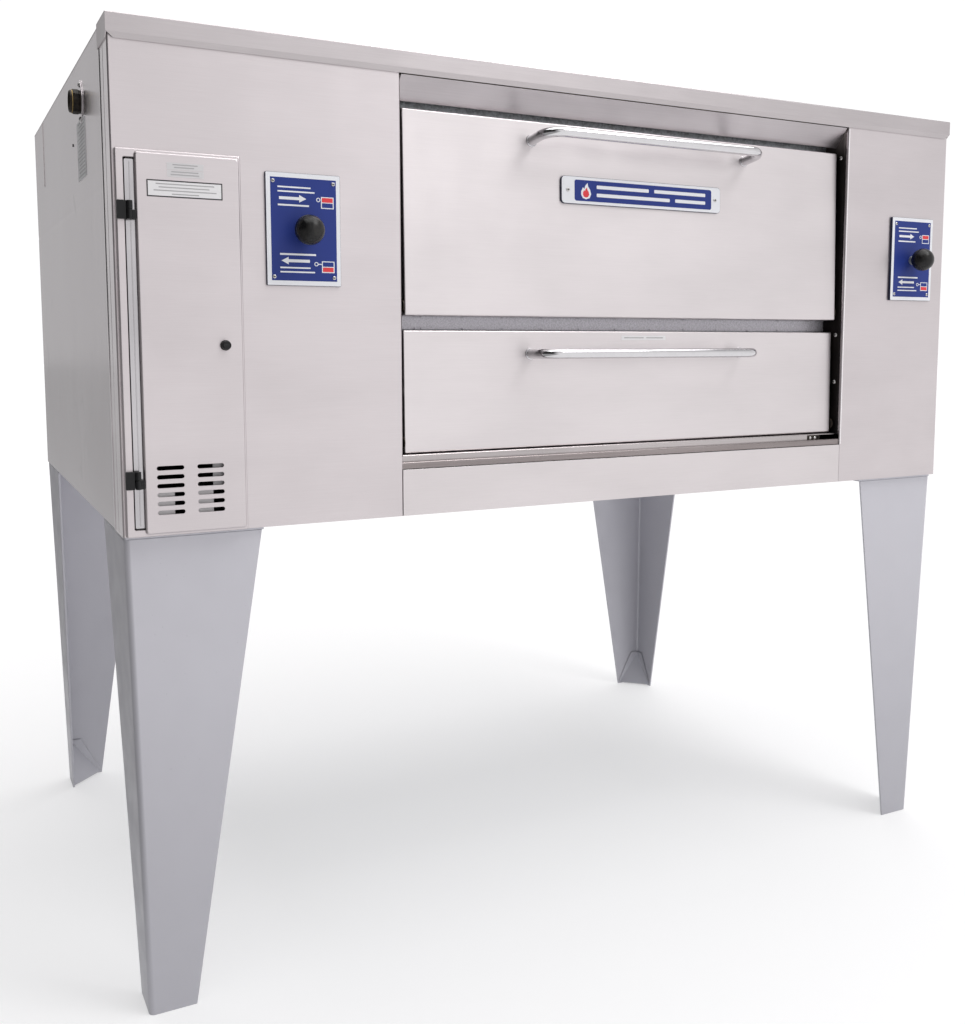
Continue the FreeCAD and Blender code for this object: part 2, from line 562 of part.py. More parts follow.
def gas_controls():
    stem_y = ("valve_front - 4", "valve_front + 2")
    body = fused(cylinder("z", ("shutoff_z - 30", "shutoff_z + 30"), ("riser_x", "riser_y"), "23"),
                 cylinder("y", ("valve_front + 2", "riser_y"), ("riser_x", "shutoff_z"), "9"))
    node("shutoff_valve_body", body)
    hub = cylinder("y", stem_y, ("riser_x", "shutoff_z"), "13")
    arm = block(("riser_x - 9", "riser_x + 9"), (stem_y[0], "valve_front"), ("shutoff_z", "shutoff_z + 78"))
    node("shutoff_lever", fused(hub, arm))

    housing = ("controls_left", "controls_right")
    button = ("button_x", "button_z")
    well = cylinder("y", ("valve_front - 1", "valve_front + 15"), button, "button_radius + pin_clearance")
    valve = block(housing, ("valve_front", "valve_back"), ("valve_bottom", "valve_top"))
    node("gas_valve_body", cut(valve, well))
    skirt = cylinder("y", (stem_y[0], "valve_front"), ("valve_knob_x", "valve_knob_z"), "19")
    grip = block(("valve_knob_x - 3", "valve_knob_x + 3"), ("valve_front - 19", stem_y[0]),
                 ("valve_knob_z - 17", "valve_knob_z + 17"))
    node("gas_valve_knob", fused(skirt, grip))
    node("pilot_button", cylinder("y", ("valve_front - 13", "valve_front + 5"), button, "button_radius"))

    dial = ("riser_x", "dial_z")
    node("thermostat_body",
         block(housing, ("thermostat_front", "thermostat_front + 48"), ("dial_z - 35", "dial_z + 35")),
         cylinder("y", ("dial_rear", "thermostat_front"), dial, "8"))
    node("thermostat_dial", fused(cylinder("y", ("dial_rear - 6", "dial_rear"), dial, "29"),
                                  cylinder("y", ("dial_front", "dial_rear - 6"), dial, "19")))


def control_door():
    x, y = ("frame_left", "frame_right"), ("0 - frame_proud", "0")
    outer, inner = tray(x, y, ("0", "frame_top"), "skin", "+y")
    hatch = block(("hatch_left", "hatch_right"), ("0 - 20", "0 - 3"), ("hatch_bottom", "hatch_top"))
    node("control_door_frame", cut(outer, inner, hatch))

    outer, inner = tray(("panel_left", "panel_right"), ("panel_front", "panel_rear"),
                        ("panel_bottom", "panel_top"), "skin", "+y")
    vents = []
    for x0 in ("vent_left_x - vent_length / 2", "vent_right_x - vent_length / 2"):
        for i in range(6):
            z = f"vent_first_z + {i} * vent_pitch"
            ends = [cylinder("y", ("0 - 20", "0"), (x, z), "vent_width / 2")
                    for x in (f"{x0} + vent_width / 2", f"{x0} + vent_length - vent_width / 2")]
            middle = block((f"{x0} + vent_width / 2", f"{x0} + vent_length - vent_width / 2"),
                           ("0 - 20", "0"), (f"{z} - vent_width / 2", f"{z} + vent_width / 2"))
            vents.append(fused(middle, *ends))
    stem_hole = cylinder("y", ("0 - 20", "0"), ("latch_x", "latch_z"), "4 + pin_clearance")
    node("control_door_panel", cut(outer, inner, stem_hole, *vents))

    axis = ("control_axis_x", "control_axis_y")
    fixed, moving = [], []
    for z in ("hinge_high_z", "hinge_low_z"):
        upper, lower = (f"{z} + hinge_split", f"{z} + hinge_height"), (z, f"{z} + hinge_split - 0.1")
        leaf = block(("frame_left + 0.5", "hinge_leaf_right"), ("control_axis_y", "0 - frame_proud"),
                     (z, f"{z} + hinge_height"))
        arm = block(("hinge_leaf_right", "control_axis_x"), ("control_axis_y", "control_axis_y + 3"), upper)
        barrel = cylinder("z", upper, axis, "knuckle_radius")
        pin = cylinder("z", (f"{z} + 1", f"{z} + hinge_split + 0.5"), axis, "hinge_pin_radius")
        fixed.append(fused(leaf, arm, barrel, pin))
        knuckle = cylinder("z", lower, axis, "knuckle_radius")
        arm = block(("control_axis_x", "panel_left"), ("control_axis_y", "control_axis_y + 4"), lower)
        bore = cylinder("z", (f"{z} - 1", f"{z} + hinge_split + 0.5"), axis,
                        "hinge_pin_radius + pin_clearance")
        moving.append(cut(fused(knuckle, arm), bore))
    node("control_hinge_leaves", *fixed)
    node("control_hinge_knuckles", *moving)

    stem = cylinder("y", ("0 - 20", "0 - 6"), ("latch_x", "latch_z"), "4")
    grip = cylinder("y", ("latch_front_y", "panel_front"), ("latch_x", "latch_z"), "latch_radius")
    cam = block(("latch_x - 7", "latch_x + 8"), ("0 - 6", "0 - 3"), ("latch_z - 6", "latch_z + 6"))
    node("control_latch", fused(stem, grip, cam))


# --- doors -----------------------------------------------------------------------------
def door(name, bottom, top, front, handle_z):
    """A pan, its inner liner with the batt behind it, a handle and two hinge pins."""
    pivot_z = f"{name}_pivot_z"
    low, high, face = f"{bottom} - {pivot_z}", f"{top} - {pivot_z}", f"{front} - pivot_y"
    across = ("door_left", "door_right")
    outer, inner = tray(across, (face, f"{face} + door_depth"), (low, high), "skin", "+y")
    node(f"{name}_door_skin", cut(outer, inner), frame=f"{name}_door")

    batt = block(("door_left + skin", "door_right - skin"), (f"{face} + skin", f"{face} + door_depth"),
                 (f"{low} + skin", f"{high} - skin"))
    plate = block(("door_left + 6", "door_right - 6"),
                  (f"{face} + door_depth", f"{face} + door_depth + skin"), (f"{low} + 7", f"{high} - 6"))
    node(f"{name}_door_liner", plate, batt, frame=f"{name}_door")

    pins = []
    for disc, stub in ((("door_right", "door_right + 2"), ("door_right + 2", "opening_right - 0.5")),
                       (("door_left - 2", "door_left"), ("opening_left + 0.5", "door_left - 2"))):
        pins.append(fused(cylinder("x", disc, ("0", "0"), "hinge_disc_radius"),
                          cylinder("x", stub, ("0", "0"), "pin_radius")))
    node(f"{name}_door_pins", *pins, frame=f"{name}_door")

    z = f"{handle_z} - {pivot_z}"
    left = "(door_left + door_right) / 2 - handle_span / 2"
    right = f"{left} + handle_span"
    bar_y = f"{face} - handle_reach"
    legs = [cylinder("y", (f"{bar_y} + handle_bend", face), (x, z), "handle_radius") for x in (left, right)]
    bar = cylinder("x", (f"{left} + handle_bend", f"{right} - handle_bend"), (bar_y, z), "handle_radius")
    bends = [quarter_bend(f"{left} + handle_bend", f"{bar_y} + handle_bend", z,
                          "handle_bend", "handle_radius", 180),
             quarter_bend(f"{right} - handle_bend", f"{bar_y} + handle_bend", z,
                          "handle_bend", "handle_radius", 270)]
    node(f"{name}_door_handle", fused(*legs, bar, *bends), frame=f"{name}_door")


def name_plate():
    face = "upper_front - pivot_y"
    middle = "(door_left + door_right) / 2"
    z = ("plate_bottom - upper_pivot_z", "plate_bottom + plate_height - upper_pivot_z")
    plate = block((f"{middle} - plate_width / 2", f"{middle} + plate_width / 2"),
                  (f"{face} - 2", face), z)
    screws = [cylinder("y", (f"{face} - 4", f"{face} - 2"),
                       (f"{middle} + {side} * (plate_width / 2 - 11)", f"({z[0]} + {z[1]}) / 2"), "4")
              for side in (-1, 1)]
    node("name_plate", plate, *screws, frame="upper_door")


# --- legs and fasteners ----------------------------------------------------------------
def leg_corner(side, end):
    """Names for a leg's corner and the way it grows: +1 is right or back, away from the corner."""
    x = "leg_inset_x" if side == "left" else "width - leg_inset_x"
    y = "leg_inset_y" if end == "front" else "depth - leg_inset_y"
    return x, y, 1 if side == "left" else -1, 1 if end == "front" else -1


def ordered(a, b, sign):
    return (a, b) if sign > 0 else (b, a)


def gusset(side, end, lift):
    """A tetrahedron in the foot's corner; two of them, one lower, bound the sloping plate."""
    value = {alias: sheet.get(alias) for alias in ALIASES}
    x, y, grow_x, grow_y = leg_corner(side, end)
    corner_x = value["leg_inset_x"] if side == "left" else value["width"] - value["leg_inset_x"]
    corner_y = value["leg_inset_y"] if end == "front" else value["depth"] - value["leg_inset_y"]
    inset = value["leg_lean"] + value["leg_gauge"] + 1.2
    corner = Vector(corner_x + grow_x * inset, corner_y + grow_y * inset, lift - value["leg_height"])
    reach = value["leg_foot_width"] - value["leg_gauge"] - 2
    points = [corner, corner + Vector(grow_x * reach, 0, 0), corner + Vector(0, grow_y * reach, 0),
              corner + Vector(0, 0, value["gusset_height"])]
    faces = [Part.Face(Part.makePolygon([points[i] for i in trio] + [points[trio[0]]]))
             for trio in ((0, 1, 2), (0, 1, 3), (0, 2, 3), (1, 2, 3))]
    solid = Part.Solid(Part.Shell(faces))
    if solid.Volume < 0:
        solid.reverse()
    thing = doc.addObject("Part::Feature", "gusset")
    thing.Shape = solid
    return thing


def leg(side, end):
    """Two tapered flanges meeting in a corner that leans in towards the foot."""
    x, y, grow_x, grow_y = leg_corner(side, end)
    plates = []
    for long_axis in "xy":
        rectangles = []
        for lean, wide in (("leg_lean", "leg_foot_width"), ("0", "leg_top_width")):
            size_x, size_y = (wide, "leg_gauge") if long_axis == "x" else ("leg_gauge", wide)
            near = (f"{x} + {grow_x} * {lean}", f"{y} + {grow_y} * {lean}")
            far = (f"{near[0]} + {grow_x} * {size_x}", f"{near[1]} + {grow_y} * {size_y}")
            rectangles.append((*ordered(near[0], far[0], grow_x), *ordered(near[1], far[1], grow_y)))
        plates.append(frustum(*rectangles, ("0 - leg_height", "0 - pad_height")))
    sloping_plate = cut(gusset(side, end, 0), gusset(side, end, -5))
    pad = block(ordered(x, f"{x} + {grow_x} * pad_size", grow_x),
                ordered(y, f"{y} + {grow_y} * pad_size", grow_y), ("0 - pad_height", "0"))
    node(f"leg_{end}_{side}", fused(*plates), sloping_plate, pad)


CORNERS = [(side, end) for end in ("front", "back") for side in ("left", "right")]


def fasteners():
    """Screws of the jambs, dial plates and gas flange, and the leg bolts."""
    heads = []
    for lo, hi in (("opening_right - jamb_gauge - 1.5", "opening_right - jamb_gauge"),
                   ("opening_left + jamb_gauge", "opening_left + jamb_gauge + 1.5")):
        heads += [cylinder("x", (lo, hi), ("jamb_screw_y", z), "4")
                  for z in ("jamb_screw_high", "jamb_screw_middle", "jamb_screw_low")]
    for x in ("left_knob_x", "right_knob_x"):
        heads += [cylinder("y", ("0 - heat_plate_gauge - 1.5", "0 - heat_plate_gauge"),
                           (f"{x} + {i} * (heat_plate_width / 2 - heat_screw_inset)", z), "3")
                  for i in (-1, 1) for z in ("heat_screw_low", "heat_screw_high")]
    heads += [cylinder("x", ("0 - 2", "0"), ("gas_y", f"gas_z + {i} * flange_screw"), "4") for i in (-1, 1)]
    for side, end in CORNERS:
        x, y, grow_x, grow_y = leg_corner(side, end)
        heads += [cylinder("z", ("0 - pad_height - 7", "0 - pad_height"),
                           (f"{x} + {grow_x} * {dx}", f"{y} + {grow_y} * {dy}"), "bolt_radius")
                  for dx, dy in (("bolt_near", "bolt_far"), ("bolt_far", "bolt_near"))]
    node("fasteners", *heads)


def build():
    side_panels()
    back_and_floor()
    top_front_cap()
    soffit_panel()
    front_panels()
    sill_and_ledge()
    door_jambs()
    oven_front()
    chamber()
    burners()
    insulation()
    dampers()
    compartment()
    gas_line()
    gas_controls()
    control_door()
    door("upper", "upper_bottom", "upper_top", "upper_front", "upper_handle_z")
    door("lower", "lower_bottom", "lower_top", "lower_front", "lower_handle_z")
    name_plate()
    for corner in CORNERS:
        leg(*corner)
    fasteners()


def check_and_export():
    doc.recompute()
    for thing in doc.Objects:
        if {"Invalid", "Error"} & set(thing.State):
            raise RuntimeError(f"{thing.Name} ({thing.TypeId}) failed: {thing.State}")
    os.makedirs("parts", exist_ok=True)
    for thing in NODES:
        if thing.Shape.isNull() or not thing.Shape.isValid() or not thing.Shape.Solids:
            raise RuntimeError(f"{thing.Label} has no valid solid")
        thing.Shape.exportStep(f"parts/{thing.Label}.step")
        print(f"{thing.Label}: {len(thing.Shape.Solids)} solids, {thing.Shape.Volume / 1000:.1f} cm3")
    print(f"{len(NODES)} nodes")


build()
check_and_export()
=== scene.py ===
"""Visual model of the gas pizza deck oven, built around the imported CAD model.

Shapes are written in cabinet millimetres: x right from the cabinet's left face, y back
from its front face, z up from its underside.  Shape.make() turns them into metres in the
row frame.
"""
import bmesh
import bpy
import json
import math
from mathutils import Matrix, Quaternion, Vector


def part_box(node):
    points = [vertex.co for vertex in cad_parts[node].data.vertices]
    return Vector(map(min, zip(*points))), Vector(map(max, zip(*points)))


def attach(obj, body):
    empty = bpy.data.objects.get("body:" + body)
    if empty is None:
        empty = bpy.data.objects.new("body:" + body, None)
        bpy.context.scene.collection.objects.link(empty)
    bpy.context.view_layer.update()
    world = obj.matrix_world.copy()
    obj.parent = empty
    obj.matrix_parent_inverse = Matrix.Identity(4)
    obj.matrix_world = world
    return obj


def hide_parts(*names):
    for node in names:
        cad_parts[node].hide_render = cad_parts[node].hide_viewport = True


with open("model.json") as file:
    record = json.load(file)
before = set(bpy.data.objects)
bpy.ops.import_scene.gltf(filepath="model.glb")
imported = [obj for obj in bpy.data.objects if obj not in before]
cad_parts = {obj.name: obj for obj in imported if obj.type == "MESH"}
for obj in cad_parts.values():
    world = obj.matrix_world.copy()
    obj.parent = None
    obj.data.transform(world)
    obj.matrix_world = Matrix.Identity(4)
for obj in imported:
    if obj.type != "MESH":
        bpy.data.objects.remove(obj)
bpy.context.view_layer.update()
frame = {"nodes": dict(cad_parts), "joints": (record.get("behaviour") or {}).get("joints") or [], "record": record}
NODES = frame["nodes"]
PIVOTS = {joint["child"]: joint["pos_m"] for joint in frame["joints"] if "pos_m" in joint}
ORIGIN = Vector(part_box("front_left_panel")[0])
MM = 0.001

# Cabinet dimensions in millimetres.
SKIN = 1.5
WIDTH, DEPTH, ROOF = 1657.0, 1118.0, 736.5
OPEN_LEFT, OPEN_RIGHT = 435.0, 1382.0
RETURN = 76.0
RETURN_TOP = 702.0
FASCIA_LOW, FASCIA_FOLD = 703.0, 711.0
HATCH_X, HATCH_Z = (31.0, 162.0), (10.5, 542.0)
GAS_SPOT = (300.0, 668.0)
DOOR_X = (445.0, 1373.0)
HANDLE_X = (681.0, 1137.0)
UPPER_FACE, LOWER_FACE = 13.0, 19.0
DAMPER_X = {"left": 275.0, "right": 1562.0}
DAMPER_Z = 450.0
LEG_TOP, FLOOR = -5.0, -754.0
SHARP = 32.0


# --- shapes ----------------------------------------------------------------------------
def lean(body, degrees):
    """Turns a piece built upright by its door's lean, about the door's hinge."""
    pivot = Vector(PIVOTS[body])
    turn = Matrix.Rotation(-math.radians(degrees), 4, "X")
    return Matrix.Translation(pivot) @ turn @ Matrix.Translation(-pivot)


LEAN = {"upper_door": lean("upper_door", 1.4), "lower_door": lean("lower_door", 0.8)}


def rectangle(x, z, radius=0.0, steps=5):
    """A closed outline with rounded corners, as (x, z) pairs."""
    if not radius:
        return [(x[0], z[0]), (x[1], z[0]), (x[1], z[1]), (x[0], z[1])]
    corners = ((x[1] - radius, z[0] + radius, -90), (x[1] - radius, z[1] - radius, 0),
               (x[0] + radius, z[1] - radius, 90), (x[0] + radius, z[0] + radius, 180))
    points = []
    for cx, cz, start in corners:
        for i in range(steps + 1):
            a = math.radians(start + 90 * i / steps)
            points.append((cx + radius * math.cos(a), cz + radius * math.sin(a)))
    return points


def disc(x, z, radius, steps):
    turns = [2 * math.pi * i / steps for i in range(steps)]
    return [(x + radius * math.cos(a), z + radius * math.sin(a)) for a in turns]


def at_depth(y, outline):
    return [(u, y, v) for u, v in outline]


def inset(x, z, by, radius):
    """A rounded rectangle drawn in from its sides."""
    return rectangle((x[0] + by, x[1] - by), (z[0] + by, z[1] - by), radius)


def fillet(path, radius, steps=5):
    """An open path with its corners rounded; works in two or three dimensions."""
    path = [Vector(p) for p in path]
    points = [path[0]]
    for before, corner, after in zip(path, path[1:], path[2:]):
        u, v = (before - corner).normalized(), (after - corner).normalized()
        half = u.angle(v) / 2
        centre = corner + (u + v).normalized() * radius / math.sin(half)
        start = corner + u * radius / math.tan(half) - centre
        end = corner + v * radius / math.tan(half) - centre
        points += [centre + start.slerp(end, i / steps) * radius for i in range(steps + 1)]
    return points + [path[-1]]


def sheet(path, radius, gauge=SKIN, steps=5):
    """The closed section of a bent sheet whose outer face follows the path; metal on its left."""
    outer = fillet(path, radius, steps)
    inner = []
    for i, point in enumerate(outer):
        run_in = (point - outer[i - 1]).normalized() if i else None
        run_out = (outer[i + 1] - point).normalized() if i + 1 < len(outer) else None
        along = ((run_in or run_out) + (run_out or run_in)).normalized()
        stretch = 1 / max(0.5, along.dot(run_out or run_in))
        inner.append(point + Vector((-along.y, along.x)) * gauge * stretch)
    return [tuple(p) for p in outer] + [tuple(p) for p in reversed(inner)]


AXES = {
    "x": lambda u, v, t: (t, u, v),
    "y": lambda u, v, t: (u, t, v),
    "z": lambda u, v, t: (u, v, t),
}


class Shape:
    """A mesh put together from closed solids in cabinet millimetres."""

    def __init__(self):
        self.bm = bmesh.new()

    def loft(self, rings, mat=0, closed=False):
        made = [[self.bm.verts.new(p) for p in ring] for ring in rings]
        count = len(rings[0])
        pairs = list(zip(made, made[1:] + made[:1])) if closed else list(zip(made, made[1:]))
        for a, b in pairs:
            for i in range(count):
                j = (i + 1) % count
                self.bm.faces.new((a[i], a[j], b[j], b[i])).material_index = mat
        if not closed:
            for end in (made[0], made[-1]):
                self.bm.faces.new(end).material_index = mat
        return self

    def prism(self, outline, axis, lo, hi, mat=0):
        to_space = AXES[axis]
        return self.loft([[to_space(u, v, t) for u, v in outline] for t in (lo, hi)], mat)

    def block(self, x, y, z, mat=0):
        return self.prism(rectangle(x, z), "y", *y, mat)

    def lathe(self, profile, centre, axis, mat=0, sides=32):
        """Rings of (place along the axis, radius) about an axis through centre."""
        to_space = AXES[axis]
        rings = [[to_space(centre[0] + r * math.cos(a), centre[1] + r * math.sin(a), t)
                  for a in (2 * math.pi * i / sides for i in range(sides))] for t, r in profile]
        return self.loft(rings, mat)

    def tube(self, path, radius, mat=0, sides=20):
        points = [Vector(p) for p in path]
        side = None
        rings = []
        for i, point in enumerate(points):
            along = (points[min(i + 1, len(points) - 1)] - points[max(i - 1, 0)]).normalized()
            if side is None:
                side = along.orthogonal().normalized()
            side = (side - along * side.dot(along)).normalized()
            other = along.cross(side)
            rings.append([point + side * radius * math.cos(a) + other * radius * math.sin(a)
                          for a in (2 * math.pi * k / sides for k in range(sides))])
        return self.loft(rings, mat)

    def dome(self, x, y, z, radius, height, axis="y", sign=-1, mat=0):
        """A screw or rivet head standing on a face."""
        spot = {"y": (x, z, y), "x": (y, z, x), "z": (x, y, z)}[axis]
        profile = [(spot[2] + sign * height * math.sin(a), max(0.15, radius * math.cos(a)))
                   for a in (math.pi / 2 * i / 6 for i in range(7))]
        return self.lathe(profile, spot[:2], axis, mat, 20)

    def screw(self, x, y, z, radius, height, recess, axis="y", sign=-1, mat=0):
        """A domed head with two crossed bars of the next material as its recess; in every use those bars are
        painted shade for the cross recess.
        """
        self.dome(x, y, z, radius, height, axis, sign, mat)
        across, face = (x, y) if axis == "y" else (y, x)
        face += sign * (height - 0.1)
        for a, b in ((recess / 4, recess), (recess, recess / 4)):
            bar = rectangle((across - a, across + a), (z - b, z + b))
            self.prism(bar, axis, face, face + sign * 0.25, mat + 1)

    def make(self, name, mats, slot, body="root", replaces=(), bevel=0.0, sharp=SHARP):
        bmesh.ops.recalc_face_normals(self.bm, faces=self.bm.faces)
        for vert in self.bm.verts:
            vert.co = vert.co * MM + ORIGIN
        if body in LEAN:
            bmesh.ops.transform(self.bm, matrix=LEAN[body], verts=self.bm.verts)
        mesh = bpy.data.meshes.new(name)
        self.bm.to_mesh(mesh)
        self.bm.free()
        mesh.shade_smooth()
        mesh.set_sharp_from_angle(angle=math.radians(sharp))
        piece = bpy.data.objects.new(name, mesh)
        bpy.context.scene.collection.objects.link(piece)
        for mat in mats if isinstance(mats, (list, tuple)) else [mats]:
            mesh.materials.append(mat)
        if bevel:
            soften(piece, bevel)
        even(piece)
        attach(piece, body)
        if replaces:
            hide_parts(*([replaces] if isinstance(replaces, str) else replaces))
        return piece


def soften(piece, width):
    """A bevel on every real corner of a piece, with even shading."""
    bevel = piece.modifiers.new("bevel", "BEVEL")
    bevel.width = width * MM
    bevel.segments = 2
    bevel.limit_method = "ANGLE"
    bevel.angle_limit = math.radians(40)
    bevel.harden_normals = True


def even(piece):
    """Flat faces keep flat shading where they meet a small fold."""
    weighted = piece.modifiers.new("even", "WEIGHTED_NORMAL")
    weighted.keep_sharp = True
    weighted.weight = 100


def pierce(piece, cutters):
    """Cuts shapes out of a piece for good."""
    bmesh.ops.recalc_face_normals(cutters.bm, faces=cutters.bm.faces)
    for vert in cutters.bm.verts:
        vert.co = vert.co * MM + ORIGIN
    mesh = bpy.data.meshes.new("cutter")
    cutters.bm.to_mesh(mesh)
    cutters.bm.free()
    tool = bpy.data.objects.new("cutter", mesh)
    bpy.context.scene.collection.objects.link(tool)
    boolean = piece.modifiers.new("holes", "BOOLEAN")
    boolean.operation = "DIFFERENCE"
    boolean.object = tool
    boolean.solver = "EXACT"
    bpy.context.view_layer.update()
    seen = piece.evaluated_get(bpy.context.evaluated_depsgraph_get())
    result = bpy.data.meshes.new_from_object(seen)
    piece.modifiers.clear()
    old = piece.data
    piece.data = result
    bpy.data.meshes.remove(old)
    bpy.data.objects.remove(tool)
    result.shade_smooth()
    result.set_sharp_from_angle(angle=math.radians(SHARP))
    even(piece)
    return piece


# --- materials -------------------------------------------------------------------------
class Graph:
    """The nodes of a new material, or of the world, under construction."""

    def __init__(self, name, world=None):
        self.material = world or bpy.data.materials.new(name)
        self.material.use_nodes = True
        self.tree = self.material.node_tree
        self.coords = self.tree.nodes.new("ShaderNodeTexCoord").outputs["Object"]

    def node(self, kind, inputs=(), **props):
        made = self.tree.nodes.new(kind)
        for key, value in props.items():
            setattr(made, key, value)
        for key, value in dict(inputs).items():
            self.plug(made.inputs[key], value)
        return made

    def plug(self, socket, value):
        if isinstance(value, bpy.types.NodeSocket):
            self.tree.links.new(value, socket)
        else:
            socket.default_value = value

    def set(self, **sockets):
        for key, value in sockets.items():
            self.plug(self.tree.nodes["Principled BSDF"].inputs[key.replace("_", " ")], value)

    def noise(self, scale, stretch=(1, 1, 1), detail=4.0, rough=0.55, distortion=0.0):
        place = self.node("ShaderNodeMapping", {"Vector": self.coords, "Scale": stretch}).outputs[0]
        return self.node("ShaderNodeTexNoise", {"Vector": place, "Scale": scale, "Detail": detail,
                                                "Roughness": rough, "Distortion": distortion}).outputs["Fac"]

    def ramp(self, value, lo, hi, to_lo, to_hi, smooth=True):
        return self.node("ShaderNodeMapRange", {"Value": value, "From Min": lo, "From Max": hi,
                                                "To Min": to_lo, "To Max": to_hi},
                         interpolation_type="SMOOTHSTEP" if smooth else "LINEAR").outputs[0]

    def math(self, operation, a, b=0.0):
        return self.node("ShaderNodeMath", {0: a, 1: b}, operation=operation).outputs[0]

    def mix(self, factor, a, b, blend="MIX"):
        made = self.node("ShaderNodeMix", data_type="RGBA", blend_type=blend)
        self.plug(made.inputs[0], factor)
        for socket, value in ((made.inputs[6], a), (made.inputs[7], b)):
            self.plug(socket, value if isinstance(value, bpy.types.NodeSocket) else (*value, 1.0))
        return made.outputs[2]

    def bump(self, height, strength, distance, under=None):
        inputs = {"Height": height, "Strength": strength, "Distance": distance}
        if under is not None:
            inputs["Normal"] = under
        return self.node("ShaderNodeBump", inputs).outputs[0]

    def edge_wear(self, radius=0.0015):
        """Near 1 on worn outer edges, 0 on flat faces."""
        bevel = self.node("ShaderNodeBevel", {"Radius": radius}, samples=4).outputs[0]
        flat = self.node("ShaderNodeNewGeometry").outputs["Normal"]
        dot = self.node("ShaderNodeVectorMath", {0: bevel, 1: flat}, operation="DOT_PRODUCT").outputs["Value"]
        return self.ramp(dot, 0.995, 0.80, 0.0, 1.0)


def steel(name, colour, roughness=0.3, grain=(9, 9, 760), anisotropic=0.5, cloud=0.05, wave=0.0):
    """Rolled and brushed stainless sheet: fine grain lines, soft clouds and a faint warm cast."""
    g = Graph(name)
    lines = g.noise(1.0, grain, 5.0, 0.6)
    fine = g.noise(1.0, tuple(3.1 * v for v in grain), 3.0, 0.6)
    clouds = g.noise(5.0, (0.7, 0.7, 1.6), 3.0, 0.5)
    smears = g.noise(16.0, (1, 1, 0.45), 2.0, 0.5)
    tint = g.mix(g.ramp(clouds, 0.3, 0.7, 0.0, 1.0), tuple(c * (1 - cloud) for c in colour),
                 tuple(min(1.0, c * (1 + cloud)) for c in colour))
    tint = g.mix(g.ramp(lines, 0.35, 0.65, 0.0, 0.05), tint, (0.93, 0.90, 0.90))
    tint = g.mix(g.ramp(fine, 0.35, 0.65, 0.0, 0.035), tint, (0.22, 0.20, 0.20))
    rough = g.math("ADD", g.ramp(lines, 0.3, 0.7, roughness * 0.92, roughness * 1.06),
                   g.ramp(smears, 0.35, 0.7, 0.0, roughness * 0.16))
    normal = g.bump(lines, 0.05, 0.0001)
    if wave:
        normal = g.bump(g.noise(2.6, (1, 1, 0.8), 1.0, 0.4, 0.6), wave, 0.02, normal)
    tangent = g.node("ShaderNodeTangent", direction_type="RADIAL", axis="Z").outputs[0]
    g.set(Base_Color=tint, Metallic=1.0, Roughness=rough, Normal=normal, Anisotropic=anisotropic,
          Anisotropic_Rotation=0.25, Tangent=tangent)
    return g.material


def side_steel():
    """Thin polished side sheet: soft vertical streaks, cloudy bloom and faint wavering lines painted into the
    colour as reflections.
    """
    g = Graph("polished_side")
    grain = g.noise(1.0, (500, 60, 5), 4.0, 0.6)
    bloom = g.noise(3.0, (1, 1, 0.7), 3.0, 0.5, 0.6)
    # Painted reflection: wavering lines, set darker into the colour, stand in for the polished sheet's wavy
    # reflections.
    flow = g.noise(2.2, (1, 1.6, 0.8), 2.0, 0.45, 1.4)
    wave = g.math("PINGPONG", g.math("MULTIPLY", flow, 14.0), 1.0)
    here_and_there = g.ramp(g.noise(5.0), 0.42, 0.62, 0.0, 1.0)
    painted_reflection_lines = g.math("MULTIPLY", g.ramp(wave, 0.0, 0.07, 0.20, 0.0), here_and_there)
    tint = g.mix(g.ramp(bloom, 0.35, 0.65, 0.0, 1.0), (0.575, 0.532, 0.548), (0.685, 0.645, 0.660))
    tint = g.mix(g.ramp(grain, 0.3, 0.7, 0.0, 0.06), tint, (0.9, 0.88, 0.88))
    tint = g.mix(painted_reflection_lines, tint, (0.25, 0.23, 0.25))
    normal = g.bump(g.noise(1.7, (1, 1, 0.6), 1.0, 0.4, 0.8), 0.10, 0.02)
    g.set(Base_Color=tint, Metallic=1.0, Roughness=g.ramp(bloom, 0.3, 0.7, 0.20, 0.27),
          Normal=g.bump(grain, 0.04, 0.0001, normal))
    return g.material


def galvanised(name, colour, spangle=260.0, roughness=0.42):
    """Zinc-coated sheet: small crystals of slightly different greys."""
    g = Graph(name)
    cells = g.node("ShaderNodeTexVoronoi", {"Vector": g.coords, "Scale": spangle}).outputs["Color"]
    grey = g.node("ShaderNodeRGBToBW", {0: cells}).outputs[0]
    dust = g.noise(900.0, detail=2.0)
    tint = g.mix(g.ramp(grey, 0.2, 0.8, 0.0, 1.0), tuple(c * 0.84 for c in colour),
                 tuple(min(1.0, c * 1.18) for c in colour))
    tint = g.mix(g.ramp(dust, 0.58, 0.72, 0.0, 0.5), tint, (0.86, 0.87, 0.9))
    g.set(Base_Color=tint, Metallic=0.85, Roughness=g.ramp(grey, 0.1, 0.9, roughness * 0.8, roughness * 1.3),
          Normal=g.bump(dust, 0.15, 0.0002))
    return g.material


def painted(name, colour, roughness=0.4, peel=0.06, mottle=0.04, scale=420.0, wear_and_highlight=None, metallic=0.0,
            gloss=0.5):
    """Paint, enamel or moulded plastic: orange peel, slow colour drift and rubbed edges."""
    g = Graph(name)
    drift = g.noise(6.0, detail=3.0)
    tint = g.mix(g.ramp(drift, 0.3, 0.7, 0.0, 1.0), tuple(c * (1 - mottle) for c in colour),
                 tuple(min(1.0, c * (1 + mottle)) for c in colour))
    if wear_and_highlight:
        patchy = g.math("MULTIPLY", g.edge_wear(), g.ramp(g.noise(90.0), 0.45, 0.62, 0.0, 0.8))
        tint = g.mix(patchy, tint, wear_and_highlight)
    peeled = g.noise(scale, detail=3.0)
    g.set(Base_Color=tint, Metallic=metallic, Specular_IOR_Level=gloss,
          Roughness=g.ramp(g.noise(30.0), 0.3, 0.7, roughness * 0.85, roughness * 1.15),
          Normal=g.bump(peeled, peel, 0.0004))
    return g.material


